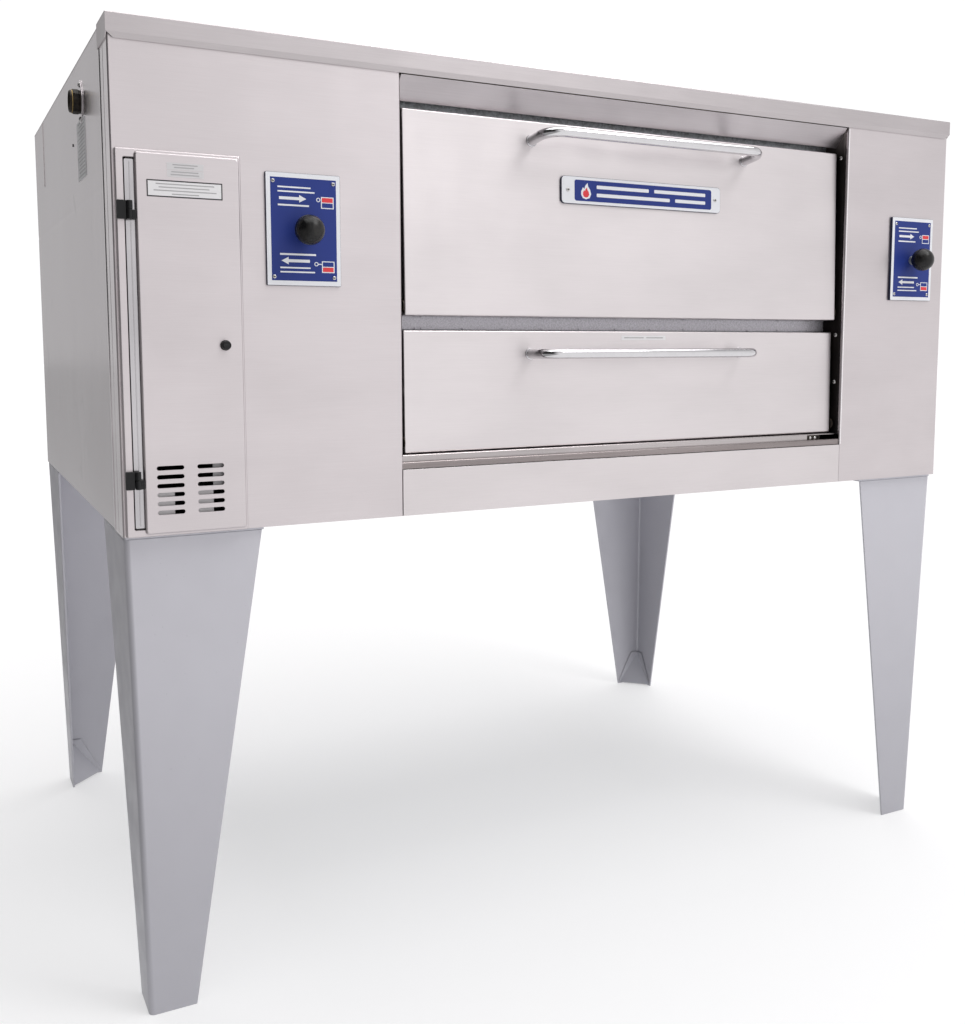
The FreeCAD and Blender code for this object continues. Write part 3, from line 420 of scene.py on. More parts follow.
def leg_enamel():
    """Light grey hammered enamel, with painted shade: darker towards the floor."""
    g = Graph("leg_enamel")
    height = g.node("ShaderNodeSeparateXYZ", {0: g.coords}).outputs["Z"]
    drift = g.noise(3.0, (1, 1, 0.5), 3.0)
    # Painted shade: the colour runs darker towards the floor, standing in for the lower leg getting less light.
    tint = g.mix(g.ramp(height, 0.0, 0.75, 0.0, 1.0), (0.428, 0.423, 0.459), (0.562, 0.553, 0.597))
    tint = g.mix(g.ramp(drift, 0.3, 0.7, 0.0, 0.14), tint, (0.58, 0.58, 0.63))
    specks = g.noise(260.0, detail=2.0)
    tint = g.mix(g.ramp(specks, 0.70, 0.78, 0.0, 0.35), tint, (0.35, 0.35, 0.38))
    wear = g.math("MULTIPLY", g.edge_wear(0.002), g.ramp(g.noise(60.0), 0.45, 0.6, 0.0, 0.5))
    tint = g.mix(wear, tint, (0.75, 0.76, 0.80))
    g.set(Base_Color=tint, Metallic=0.25, Roughness=g.ramp(g.noise(22.0), 0.3, 0.7, 0.36, 0.48),
          Normal=g.bump(g.noise(520.0, detail=3.0), 0.12, 0.0004))
    return g.material


def jamb_enamel():
    """Black enamel, browned, and lighter brown-grey towards the top."""
    g = Graph("jamb_enamel")
    height = g.node("ShaderNodeSeparateXYZ", {0: g.coords}).outputs["Z"]
    stains = g.noise(14.0, (1, 1, 0.5), 5.0, 0.6, 0.4)
    tint = g.mix(g.ramp(stains, 0.4, 0.75, 0.0, 0.7), (0.004, 0.003, 0.003), (0.014, 0.010, 0.009))
    tint = g.mix(g.ramp(height, 1.395, 1.45, 0.0, 1.0), tint, (0.16, 0.14, 0.135))
    g.set(Base_Color=tint, Roughness=g.ramp(stains, 0.3, 0.7, 0.45, 0.65), Specular_IOR_Level=0.15,
          Normal=g.bump(g.noise(200.0), 0.15, 0.0005))
    return g.material


def heat_steel():
    """Mill steel with straw and blue heat tints and light soot."""
    g = Graph("heat_steel")
    tone = g.noise(4.0, (1, 1, 0.7), 5.0, 0.6, 0.5)
    tint = g.mix(g.ramp(tone, 0.35, 0.6, 0.0, 1.0), (0.33, 0.30, 0.27), (0.24, 0.235, 0.25))
    tint = g.mix(g.ramp(g.noise(11.0, detail=6.0), 0.52, 0.7, 0.0, 0.7), tint, (0.10, 0.085, 0.075))
    g.set(Base_Color=tint, Metallic=0.9, Roughness=g.ramp(tone, 0.3, 0.7, 0.38, 0.6),
          Normal=g.bump(g.noise(300.0), 0.1, 0.0003))
    return g.material


def hearth_stone():
    """Cast fireclay slab: sandy grain, pits and baked-on patches."""
    g = Graph("hearth_stone")
    grain = g.noise(340.0, detail=6.0, rough=0.7)
    pits = g.node("ShaderNodeTexVoronoi", {"Vector": g.coords, "Scale": 190.0}).outputs["Distance"]
    tint = g.mix(g.ramp(grain, 0.3, 0.7, 0.0, 1.0), (0.40, 0.34, 0.27), (0.62, 0.56, 0.47))
    tint = g.mix(g.ramp(g.noise(5.0, detail=5.0), 0.5, 0.72, 0.0, 0.75), tint, (0.16, 0.11, 0.075))
    height = g.math("ADD", grain, g.ramp(pits, 0.0, 0.25, -0.6, 0.0))
    g.set(Base_Color=tint, Roughness=0.92, Normal=g.bump(height, 0.5, 0.0012))
    return g.material


def wool():
    g = Graph("mineral_wool")
    fibres = g.noise(60.0, (1, 1, 7), 7.0, 0.7, 1.5)
    g.set(Base_Color=g.mix(fibres, (0.42, 0.36, 0.20), (0.80, 0.73, 0.52)), Roughness=1.0,
          Sheen_Weight=0.5, Normal=g.bump(fibres, 0.8, 0.004))
    return g.material


def iron():
    """Black pipe and fittings: tight scale with brown bloom on the edges."""
    g = Graph("black_iron")
    scale = g.noise(180.0, detail=5.0, rough=0.65)
    tint = g.mix(g.ramp(scale, 0.35, 0.7, 0.0, 1.0), (0.012, 0.011, 0.010), (0.045, 0.036, 0.028))
    tint = g.mix(g.math("MULTIPLY", g.edge_wear(), 0.45), tint, (0.22, 0.17, 0.12))
    g.set(Base_Color=tint, Metallic=0.7, Roughness=g.ramp(scale, 0.3, 0.7, 0.35, 0.6),
          Normal=g.bump(scale, 0.25, 0.0006))
    return g.material


def polished(name, colour, roughness):
    """Plated or machined metal with faint swirls."""
    g = Graph(name)
    swirl = g.noise(35.0, (1, 1, 1), 4.0, 0.6, 1.2)
    tint = g.mix(g.ramp(swirl, 0.35, 0.7, 0.0, 0.5), colour, tuple(c * 0.93 for c in colour))
    g.set(Base_Color=tint, Metallic=1.0, Roughness=g.ramp(swirl, 0.3, 0.7, roughness * 0.7, roughness * 1.5),
          Normal=g.bump(g.noise(500.0, detail=2.0), 0.03, 0.0002))
    return g.material


def ball_black():
    """Phenolic ball knob: deep black with a rubbed, slightly brown bloom."""
    g = Graph("ball_black")
    rub = g.noise(45.0, (1, 1, 0.4), 5.0, 0.65, 0.8)
    tint = g.mix(g.ramp(rub, 0.42, 0.72, 0.0, 0.8), (0.005, 0.005, 0.0055), (0.028, 0.026, 0.024))
    g.set(Base_Color=tint, Roughness=g.ramp(rub, 0.3, 0.7, 0.2, 0.42), Specular_IOR_Level=0.3,
          Normal=g.bump(g.noise(420.0), 0.05, 0.0004))
    return g.material


M = {
    "front": steel("brushed_front", (0.618, 0.573, 0.584), 0.36, cloud=0.035),
    "door": steel("brushed_door", (0.682, 0.640, 0.648), 0.35, cloud=0.035),
    "sill": steel("brushed_sill", (0.655, 0.613, 0.620), 0.33, cloud=0.035),
    "side": side_steel(),
    "return": steel("polished_return", (0.85, 0.795, 0.815), 0.16, (500, 500, 4), 0.2, 0.10),
    "riser": steel("brown_riser", (0.275, 0.24, 0.238), 0.26, (6, 500, 500), 0.2, 0.08),
    "roof": steel("mill_roof", (0.53, 0.51, 0.515), 0.38, (6, 420, 420), 0.3, 0.04),
    "soffit": steel("soffit_steel", (0.47, 0.435, 0.45), 0.32, (6, 500, 500), 0.3, 0.10, 0.10),
    "cap": steel("brushed_cap", (0.505, 0.47, 0.478), 0.36, cloud=0.035),
    "ledge": steel("dull_ledge", (0.455, 0.42, 0.42), 0.24, (6, 500, 500), 0.2, 0.08),
    "galvanised": galvanised("galvanised", (0.50, 0.52, 0.55)),
    "strip": galvanised("galvanised_strip", (0.56, 0.545, 0.585), 420.0, 0.5),
    "jamb": jamb_enamel(),
    "leg": leg_enamel(),
    "chrome": polished("chrome_plate", (0.66, 0.65, 0.665), 0.07),
    "black": painted("moulded_black", (0.007, 0.007, 0.008), 0.38, 0.08, 0.2, 600.0, (0.07, 0.07, 0.075),
                     gloss=0.3),
    "ball": ball_black(),
    "core": painted("plate_core", (0.010, 0.013, 0.050), 0.5, 0.03),
    "white": painted("printed_white", (0.80, 0.81, 0.845), 0.42, 0.03, 0.02),
    "blue": painted("printed_blue", (0.020, 0.040, 0.225), 0.42, 0.03, 0.06, gloss=0.25),
    "red": painted("printed_red", (0.72, 0.035, 0.045), 0.42, 0.03, 0.03),
    "paper": painted("label_paper", (0.78, 0.77, 0.78), 0.55, 0.02, 0.02),
    "clear": painted("label_clear", (0.64, 0.625, 0.635), 0.5, 0.02, 0.02),
    "ink": painted("label_ink", (0.035, 0.032, 0.035), 0.6, 0.02, 0.05),
    "faint": painted("label_grey", (0.40, 0.39, 0.40), 0.6, 0.02, 0.05),
    "film": painted("label_film", (0.55, 0.55, 0.56), 0.35, 0.02, 0.05, metallic=0.6),
    "stone": hearth_stone(),
    "iron": iron(),
    "brass": polished("brass", (0.36, 0.26, 0.11), 0.38),
    "wool": wool(),
    "cast": painted("cast_aluminium", (0.46, 0.46, 0.47), 0.45, 0.3, 0.06, 260.0, metallic=0.85),
    "heat": heat_steel(),
    "zinc": polished("zinc_screw", (0.62, 0.61, 0.60), 0.3),
    "channel": steel("bright_channel", (0.50, 0.485, 0.50), 0.20, (500, 500, 6), 0.2, 0.08),
    # Near-white polished metal used as a painted highlight on the right reveal's fold.
    "edge": polished("bright_edge", (0.96, 0.93, 0.94), 0.22),
    # Painted shade: near-black, glossless paint put in recesses, gaps, slots, screw crosses and openings where
    # shade falls, and on the ledge's end stop as the jamb's reflection.
    "painted_shade": painted("painted_shade_near_black", (0.012, 0.011, 0.011), 0.8, 0.02, gloss=0.0),
}

CAD_FINISH = {
    "stainless": "front", "stainless_bright": "side", "galvanised": "galvanised", "jamb_black": "jamb",
    "leg_paint": "leg", "chrome": "chrome", "black_plastic": "black", "dial_plate": "blue",
    "name_plate": "white", "stone": "stone", "pipe": "iron", "brass": "brass", "wool": "wool",
    "valve_body": "cast", "oven_steel": "heat", "screw": "zinc",
}
SLOT_OF = {part["node"]: part["material_slot"] for part in frame["record"]["subparts"]}
OWN_FINISH = {"top_panel": "roof", "back_panel": "roof", "soffit_panel": "soffit",
              "deck_front_strip": "strip"}


def dress_cad():
    """A finish for every CAD node."""
    for name, piece in NODES.items():
        mat = M[OWN_FINISH.get(name, CAD_FINISH[SLOT_OF[name]])]
        piece.data.materials.clear()
        piece.data.materials.append(mat)
        for face in piece.data.polygons:
            face.material_index = 0


# --- cabinet ---------------------------------------------------------------------------
def polish_returns(piece):
    """The folded-back returns keep the mill polish, so they read darker than the brushed face."""
    piece.data.materials.append(M["return"])
    for face in piece.data.polygons:
        if abs(face.normal.x) > 0.9:
            face.material_index = 1
    return piece


def front_panels():
    """Two bent sheets either side of the doors, their hems, and the folded sill between them."""
    bend, tuck = 2.8, 8.0
    rod_hole = [(-5, 9), (5, 9)]
    section = sheet([(0, RETURN), (0, 0), (OPEN_LEFT, 0), (OPEN_LEFT, tuck)], bend)
    left = Shape().prism(section, "z", 0, ROOF)
    left = left.make("front_panel_left", M["front"], "stainless", replaces="front_left_panel")
    cutters = Shape().block(HATCH_X, (-5, 5), HATCH_Z)
    cutters.lathe(rod_hole, (DAMPER_X["left"], DAMPER_Z), "y")
    polish_returns(pierce(left, cutters))
    section = sheet([(OPEN_RIGHT, tuck), (OPEN_RIGHT, 0), (WIDTH, 0), (WIDTH, RETURN)], bend)
    right = Shape().prism(section, "z", 0, ROOF)
    right = right.make("front_panel_right", M["front"], "stainless", replaces="front_right_panel")
    polish_returns(pierce(right, Shape().lathe(rod_hole, (DAMPER_X["right"], DAMPER_Z), "y")))
    hems = Shape()
    for x, sign in ((0, -1), (WIDTH, 1)):
        for y, proud in (((69.5, RETURN), 0.9), ((38, 40.5), 0.35)):
            lip = x + sign * proud
            section = [(x, y[0]), (lip, y[0] + 0.8), (lip, y[1] - 0.8), (x, y[1])]
            hems.prism(section[::-sign], "z", 1.5, RETURN_TOP)
    hems.make("return_hems", M["return"], "stainless")
    # A near-white polished strip down the fold of the right reveal: a painted highlight for the light that fold
    # catches.
    wear_and_highlight = [(0.5, 1.3), (1.2, 0.5), (2.6, -0.1), (3.6, -0.1), (3.6, 0.3), (0.9, 1.6)]
    edge = Shape().prism([(OPEN_RIGHT + x, y) for x, y in wear_and_highlight], "z", 77, 701)
    edge.make("reveal_edge", M["edge"], "stainless")
    sill = sheet([(6, RETURN), (0, RETURN), (0, 0)], 0.8)
    sill = Shape().prism(sill, "x", OPEN_LEFT + 0.15, OPEN_RIGHT - 0.15)
    sill.make("sill_front", M["sill"], "stainless", replaces="sill_panel")


def ledge():
    """Two-step hinge ledge: a brown riser under a dull step, with its bracket and end stop."""
    step_foot, step_face, step_top = 86.0, 12.5, 97.0
    riser = sheet([(4.5, RETURN), (4.5, step_foot), (step_face, step_foot)], 0.5)
    shape = Shape().prism(riser, "x", OPEN_LEFT, OPEN_RIGHT, 1)
    step = sheet([(step_face, step_foot - 1.5), (step_face, step_top), (60, step_top)], 0.5)
    shape.prism(step, "x", OPEN_LEFT, OPEN_RIGHT)
    shadow_lines = (((12.2, 12.6), (86.3, 87.0)), ((4.3, 12.4), (85.4, 86.3)), ((0.15, 4.5), (75.4, 76.3)),
                    ((12.3, 16), (96.3, 97.2)))
    for y, z in shadow_lines:
        shape.prism(rectangle((OPEN_LEFT + 0.3, OPEN_RIGHT - 0.3), z), "y", *y, 2)
    shape.make("hinge_ledge_steps", [M["ledge"], M["riser"], M["painted_shade"]], "stainless_bright",
               replaces="hinge_ledge")
    left, right = 1306.0, 1338.0
    plate = Shape().prism(rectangle((left, right), (87, 96.5), 1, 3), "y", 10.6, step_face, 0)
    for x in (1314, 1326):
        plate.dome(x, 10.7, 91.2, 3, 1.5, mat=1)
    # A small near-black mark on the bracket: painted shade.
    plate.prism(rectangle((1332, 1336), (89, 94.5)), "y", 10.3, 10.7, 2)
    plate.make("ledge_bracket", [M["iron"], M["zinc"], M["painted_shade"]], "stainless_bright", bevel=0.3)
    # The end stop is painted near-black: a painted reflection of the black jamb on the step's right end.
    stop = Shape().prism(rectangle((right, OPEN_RIGHT - 1.5), (86.4, 96.6)), "y", 11.0, step_face)
    stop.make("ledge_end_stop", M["painted_shade"], "stainless_bright")


def cap():
    """The fascia with its folded lip, mitred at both ends, and the two side tabs."""
    section = sheet([(80, 738), (-5, 738), (-5, FASCIA_FOLD), (-1.7, FASCIA_LOW)], 2.4)
    rings = []
    for end, sign in ((-SKIN, 1), (WIDTH + SKIN, -1)):
        rings.append([(end + sign * 1.3 * max(0.0, FASCIA_FOLD - z), y, z) for y, z in section])
    shape = Shape().loft(rings)
    tab = [(-3.5, 736.4), (80, 736.4), (80, FASCIA_LOW), (4, FASCIA_LOW), (-3.5, 710.5)]
    for lo, hi in ((-SKIN, -0.02), (WIDTH + 0.02, WIDTH + SKIN)):
        shape.prism(tab, "x", lo, hi)
    shape.make("cap_fascia", M["cap"], "stainless", replaces="top_front_cap")


def side_panels():
    """Tall side sheets with a shallow cross-break and slight belly."""
    front, crease = 20.0, 510.0
    heights = [0, 60, 150, 250, 350, 430, 490, 500, 504, 507, crease, 513, 516, 520, 540, 600, 670, ROOF]
    depths = [front, 78, 150, 300, 450, 600, 750, 900, 1020, DEPTH]

    def belly(y, z):
        swell = math.sin(math.pi * (y - front) / (DEPTH - front)) * math.sin(math.pi * z / ROOF)
        return 0.5 - 0.5 * swell + 0.9 * math.exp(-((z - crease) / 3.5) ** 2)

    for name, outer, sign in (("left_side", SKIN, 1), ("right_side", WIDTH - SKIN, -1)):
        shape = Shape()
        rings = []
        for z in heights:
            outer_row = [(outer + sign * belly(y, z) * 0.6, y, z) for y in depths]
            inner_row = [(outer + sign * SKIN, y, z) for y in reversed(depths)]
            rings.append(outer_row + inner_row)
        shape.loft(rings)
        piece = shape.make(f"{name}_sheet", M["side"], "stainless_bright", replaces=f"{name}_panel",
                           sharp=40)
        if sign > 0:
            pierce(piece, Shape().lathe([(-1, 18), (6, 18)], GAS_SPOT, "x"))
    label = Shape().prism(rectangle((263, 362), (548, 642), 2), "x", 0.75, 1.75, 0)
    for i in range(15):
        bar_end, bar_foot = 357 - (i * 37 % 23), 552.5 + i * 6
        label.prism(rectangle((268, bar_end), (bar_foot, bar_foot + 1.7)), "x", 0.6, 0.76, 1)
    label.make("side_label", [M["film"], M["faint"]], "name_plate")
    # A near-black disc on the left side sheet: painted shade where a pin opening would be.
    pin_hole_shade = Shape().lathe([(0.6, 2.4), (1.6, 2.4)], (423, 617), "x")
    pin_hole_shade.make("side_pin_hole_shade", M["painted_shade"], "jamb_black")
    seam = [(928, 610), (932, 604), (933, 604), (929.2, 611), (929.2, 736), (928, 736)]
    Shape().prism(seam, "x", 0.7, 1.6).make("side_seam", M["ledge"], "stainless_bright")


def ring(profile, centre, axis, sides=40):
    """A turned ring: the profile is a closed loop that never reaches the axis."""
    to_space = AXES[axis]
    loops = [[to_space(centre[0] + r * math.cos(a), centre[1] + r * math.sin(a), t) for t, r in profile]
             for a in (2 * math.pi * i / sides for i in range(sides))]
    return Shape().loft(loops, closed=True)


def gas_connection():
    """Hexagonal union body, threaded rim with its washer, and the screwed flange behind them."""
    bore = 15.2
    body = ring([(-12.4, bore), (-12.4, 18.8), (-11.2, 20), (-3.4, 20), (-2.2, 18.9), (-0.4, 18.9),
                 (-0.4, bore)], GAS_SPOT, "x", 12)
    body.make("gas_coupling", M["iron"], "pipe", replaces="gas_inlet_coupling", bevel=0.5, sharp=20)
    rim = ring([(-16.9, bore), (-16.9, 16.4), (-16.0, 17.6), (-13.4, 17.9), (-13.4, bore)], GAS_SPOT, "x")
    rim.make("gas_coupling_rim", M["iron"], "pipe")
    washer = ring([(-13.4, 15.3), (-13.4, 18.4), (-12.4, 18.4), (-12.4, 15.3)], GAS_SPOT, "x")
    washer.make("gas_coupling_washer", M["brass"], "pipe")
    # A near-black disc across the bore: painted shade closing off the inside of the union.
    bore_shade_disc = Shape().lathe([(-8, 15.1), (-7.5, 15.1)], GAS_SPOT, "x")
    bore_shade_disc.make("gas_coupling_bore_shade", M["painted_shade"], "pipe")
    radius, ear, steps = 22.0, 13.0, 40
    flange = []
    for i in range(steps):
        a = 2 * math.pi * i / steps
        reach = ear * math.copysign(1, math.sin(a)) * abs(math.sin(a)) ** 6
        flange.append((GAS_SPOT[0] + radius * math.cos(a), GAS_SPOT[1] + radius * math.sin(a) + reach))
    plate = Shape().prism(flange, "x", 0, SKIN)
    plate.make("gas_flange", M["side"], "screw", bevel=0.3)
    screws = Shape()
    for dz in (-27, 27):
        screws.screw(0, GAS_SPOT[0], GAS_SPOT[1] + dz, 4.2, 2.4, 2.2, "x")
    screws.make("gas_flange_screws", [M["zinc"], M["painted_shade"]], "screw")


# --- doors -----------------------------------------------------------------------------
def pan(name, x, y, z, mat, slot, body, replaces, radius=3.0, corner=2.5, gauge=SKIN):
    """A pressed pan: rounded front edges, open behind, with one gauge of metal."""
    profile = []
    for i in range(6):
        a = math.pi / 2 * i / 5
        profile.append((radius * (1 - math.sin(a)), y[0] + radius * (1 - math.cos(a))))
    profile += [(0, y[1]), (gauge, y[1]), (gauge, y[0] + gauge + radius / 2)]
    rings = []
    for by, depth in profile:
        rings.append(at_depth(depth, inset(x, z, by, max(0.4, corner - min(by, corner) * 0.6))))
    return Shape().loft(rings).make(name, mat, slot, body, replaces)


def handle(body, door, face, z, rise):
    """A bent tube with a small collar at each foot."""
    reach = face - 60
    left, right = HANDLE_X
    root, top = face + 0.5, z + rise
    corners = [(left, root, z), (left, reach, top), (right, reach, top), (right, root, z)]
    shape = Shape().tube(fillet(corners, 31, 12), 8.5, 0, 28)
    for foot in HANDLE_X:
        collar = [(face - 2.2, 8.6), (face - 2.0, 9.8), (face - 0.6, 10.4), (face + 0.2, 10.4)]
        shape.lathe(collar, (foot, z), "y")
    shape.make(f"{door}_handle_tube", M["chrome"], "chrome", body, f"{door}_door_handle")


def hinge_pins(body, door, z):
    shape = Shape()
    for disc_x, stub_x in (((1373, 1375), (1375, 1381.5)), ((443, 445), (435.5, 443))):
        shape.lathe([(disc_x[0], 11), (disc_x[1], 11)], (24, z), "x")
        shape.lathe([(stub_x[0], 5), (stub_x[1], 5)], (24, z), "x")
    shape.make(f"{door}_pivots", M["iron"], "jamb_black", body, f"{door}_door_pins", bevel=0.4)


def doors():
    pan("upper_door_pan", DOOR_X, (UPPER_FACE, 48), (325.5, 655), M["door"], "stainless", "upper_door",
        "upper_door_skin")
    pan("lower_door_pan", DOOR_X, (LOWER_FACE, 54), (100.2, 302), M["door"], "stainless", "lower_door",
        "lower_door_skin")
    handle("upper_door", "upper", UPPER_FACE, 621.5, 7)
    handle("lower_door", "lower", LOWER_FACE, 262, 0)
    hinge_pins("upper_door", "upper", 342)
    hinge_pins("lower_door", "lower", 118)
    note = Shape().prism(rectangle((868, 965), (286, 294), 0.8), "y", LOWER_FACE - 0.25, LOWER_FACE + 0.1)
    for bar in ((874, 916), (922, 959)):
        note.prism(rectangle(bar, (289.2, 290.9)), "y", LOWER_FACE - 0.35, LOWER_FACE - 0.24, 1)
    note.make("lower_door_label", [M["paper"], M["faint"]], "name_plate", "lower_door")


def name_plate():
    """A plain printed plate: white border, blue field, a flame mark and two bars."""
    back, front = UPPER_FACE, 8.8
    shape = Shape().prism(rectangle((737, 1079), (521, 568), 7), "y", front + 0.5, back, 1)
    shape.prism(rectangle((737.6, 1078.4), (521.6, 567.4), 6.6), "y", front, front + 0.5, 0)
    shape.prism(rectangle((763, 1058), (526.5, 562.5), 4), "y", front - 0.15, front, 2)
    flame = [(0, -13.5), (7.5, -11), (10.5, -4.5), (8.5, 3), (4.5, 8.5), (3.2, 14.5), (-1.5, 9.5),
             (-3.0, 4.0), (-6.2, 6.8), (-9.6, 0.2), (-9.8, -6), (-6.5, -11.5)]
    for scale, drop, depth, mat in ((1.0, 0.0, 0.3, 0), (0.62, 2.2, 0.4, 3)):
        outline = [(786 + u * scale, 543.3 + v * scale - drop) for u, v in flame]
        shape.prism(outline, "y", front - depth, front - 0.1, mat)
    for x, z in (((808, 918), (549, 555)), ((930, 1044), (549, 555)), ((808, 964), (535, 541)),
                 ((976, 1044), (535, 541))):
        shape.prism(rectangle(x, z, 1.5, 3), "y", front - 0.3, front - 0.1, 0)
    for x in (750, 1066.5):
        shape.screw(x, front, 544.5, 3.6, 1.6, 1.9, mat=4)
    shape.make("name_plate_face", [M["white"], M["core"], M["blue"], M["red"], M["zinc"], M["painted_shade"]],
               "name_plate", "upper_door", "name_plate", sharp=25)


# --- heat controls ---------------------------------------------------------------------
def heat_plate(middle):
    """White-bordered blue plate with plain bars, arrows and the two damper pictograms."""
    wide, low, high = 115.5, 368.0, 536.0
    left = middle - wide / 2
    paint, ink, ink_over = (-5.12, -5.0), (-5.24, -5.12), (-5.34, -5.24)
    shape = Shape().prism(rectangle((left, left + wide), (low, high), 1.2, 3), "y", -4.6, 0, 1)
    border = rectangle((left + 0.4, left + wide - 0.4), (low + 0.4, high - 0.4), 1.2, 3)
    shape.prism(border, "y", -5.0, -4.6, 0)
    shape.prism(rectangle((left + 7, left + 109), (375.4, 528.8)), "y", *paint, 2)
    for x, z in (((18, 69), (513.7, 515.9)), ((18, 75), (507.2, 509.4)), ((18, 66), (486.8, 489.4)),
                 ((20, 76), (413.6, 416.4)), ((20, 67), (393.8, 396.0)), ((20, 74), (387.4, 389.6))):
        shape.prism(rectangle((left + x[0], left + x[1]), z), "y", *ink, 0)
    for z, way, tip, tail in ((498.3, 1, left + 62, left + 20), (405.3, -1, left + 22, left + 66)):
        neck = tip - way * 11
        arrow = [(tail, z - 2.2), (neck, z - 2.2), (neck, z - 5.6), (tip, z), (neck, z + 5.6),
                 (neck, z + 2.2), (tail, z + 2.2)]
        shape.prism(arrow[::way], "y", *ink, 0)
    for z, red_low, stem in ((485.5, False, 0.0), (388.5, True, 4.5)):
        x0, x1 = left + 85, left + 105
        shape.prism(rectangle((x0, x1), (z, z + 17.5)), "y", *ink, 0)
        for lo, hi, red in ((z + 1.4, z + 8.2, red_low), (z + 9.4, z + 16.2, not red_low)):
            shape.prism(rectangle((x0 + 1.4, x1 - 1.4), (lo, hi)), "y", *ink_over, 3 if red else 2)
        knob_z = z + 12.8
        shape.prism(disc(x0 - 4.2 - stem, knob_z, 3.2, 20), "y", *ink, 0)
        shape.prism(disc(x0 - 4.2 - stem, knob_z, 2.0, 20), "y", *ink_over, 2)
        if stem:
            rod = rectangle((x0 - stem - 1.0, x0 + 0.3), (knob_z - 0.7, knob_z + 0.7))
            shape.prism(rod, "y", *ink, 0)
    for dx in (-46.75, 46.75):
        for z in (381, 523):
            shape.screw(middle + dx, -5.1, z, 3.1, 1.7, 1.7, mat=4)
    return shape


def dampers():
    """Heat plates and the ball knobs that pull the two dampers."""
    mats = [M["white"], M["core"], M["blue"], M["red"], M["zinc"], M["painted_shade"]]
    for side, stands_for in (("left", "heat_plates"), ("right", ())):
        plate = heat_plate(DAMPER_X[side])
        plate.make(f"heat_plate_{side}", mats, "dial_plate", replaces=stands_for, sharp=25)
    centre, radius, neck, steps = -34.0, 22.5, 10.6, 24
    start = math.asin(neck / radius)
    profile = [(-11.2, 8.8), (-13, 9.4), (-15.5, 9.8)]
    for i in range(steps + 1):
        a = start + (math.pi - start) * i / steps
        profile.append((centre + radius * math.cos(a), max(0.2, radius * math.sin(a))))
    for side, x in DAMPER_X.items():
        knob = Shape().lathe(profile, (x, DAMPER_Z), "y", 0, 48)
        knob.lathe([(-34.3, 22.62), (-33.7, 22.62)], (x, DAMPER_Z), "y", 0, 48)
        knob.make(f"{side}_ball_knob", M["ball"], "black_plastic", f"{side}_damper", f"{side}_damper_knob")


# --- control compartment ---------------------------------------------------------------
def control_frame():
    """Raised channel frame round the control hatch."""
    x, z = (4.0, 180.0), (0.0, 554.0)
    face, back_of_face, bend, corner = -8.0, -6.5, 2.4, 2.5
    loops = []
    for i in range(6):
        a = math.pi / 2 * i / 5
        by = bend * (1 - math.sin(a))
        loops.append(at_depth(face + bend * (1 - math.cos(a)), inset(x, z, by, 3.5 - by * 0.6)))
    for by, depth in ((0, 0), (SKIN, 0), (SKIN, back_of_face)):
        loops.append(at_depth(depth, inset(x, z, by, corner)))
    opening = rectangle((15.0, HATCH_X[1]), HATCH_Z, corner)
    shape = Shape().loft(loops + [at_depth(back_of_face, opening), at_depth(face, opening)], closed=True)
    shape.make("control_frame", M["front"], "stainless", replaces="control_door_frame")


def control_panel():
    """The hinged panel with its vent slots and blank labels."""
    panel = pan("control_panel_pan", (30, 177), (-12.5, -8.5), (4, 550), M["front"], "stainless",
                "control_door", "control_door_panel", 3.2, 5.0, 1.2)
    slots = Shape()
    half_length, half_height, pitch = 19.5, 3.2, 13.05
    for x in (67, 124.8):
        for i in range(6):
            z = 35 + i * pitch
            sides = (x - half_length, x + half_length), (z - half_height, z + half_height)
            slots.prism(rectangle(*sides, 3.19, 6), "y", -16, -4)
    pierce(panel, slots)

    labels = Shape()
    for z in ((517, 526.6), (527.4, 537)):
        labels.prism(rectangle((74, 125.5), z, 0.6), "y", -12.75, -12.4, 3)
    labels.prism(rectangle((45.5, 151.7), (488, 512), 0.6), "y", -12.7, -12.4, 1)
    labels.prism(rectangle((47.3, 149.9), (489.8, 510.2)), "y", -12.82, -12.7)
    bar = 1.5
    for x0, x1, z in ((82, 117, 533.6), (84, 112, 529.8), (80, 118, 523.6), (79, 119, 519.6)):
        labels.prism(rectangle((x0, x1), (z, z + bar)), "y", -12.83, -12.74, 2)
    for x0, x1, z in ((58, 140, 505.8), (62, 133, 501.2), (55, 143, 496.6), (80, 118, 492.0)):
        labels.prism(rectangle((x0, x1), (z, z + bar)), "y", -12.9, -12.81, 2)
    mats = [M["paper"], M["ink"], M["faint"], M["clear"]]
    labels.make("control_labels", mats, "name_plate", "control_door")


def control_hinges():
    """Two black hinges: leaves on the frame, lower knuckles on the panel."""
    pin = (21.5, -14)
    fixed, moving = Shape(), Shape()
    for z in (455, 71):
        fixed.prism(rectangle((4.5, 16.8), (z, z + 26), 1.2, 3), "y", -14.6, -8.0)
        fixed.prism(rectangle((16.2, 22), (z + 13.6, z + 25.8), 0.8, 3), "y", -13.6, -10.6)
        fixed.lathe([(z + 13.5, 3.6), (z + 14.1, 4.2), (z + 25.4, 4.2), (z + 26, 3.6)], pin, "z", 0, 24)
        moving.lathe([(z, 3.6), (z + 0.6, 4.2), (z + 12.8, 4.2), (z + 13.3, 3.6)], pin, "z", 0, 24)
        moving.prism(rectangle((21.5, 30.2), (z + 0.2, z + 13.2), 0.8, 3), "y", -15.0, -10)
    fixed.make("hinge_leaves", M["black"], "black_plastic", replaces="control_hinge_leaves", bevel=0.35)
    moving.make("hinge_knuckles", M["black"], "black_plastic", "control_door", "control_hinge_knuckles",
                bevel=0.35)


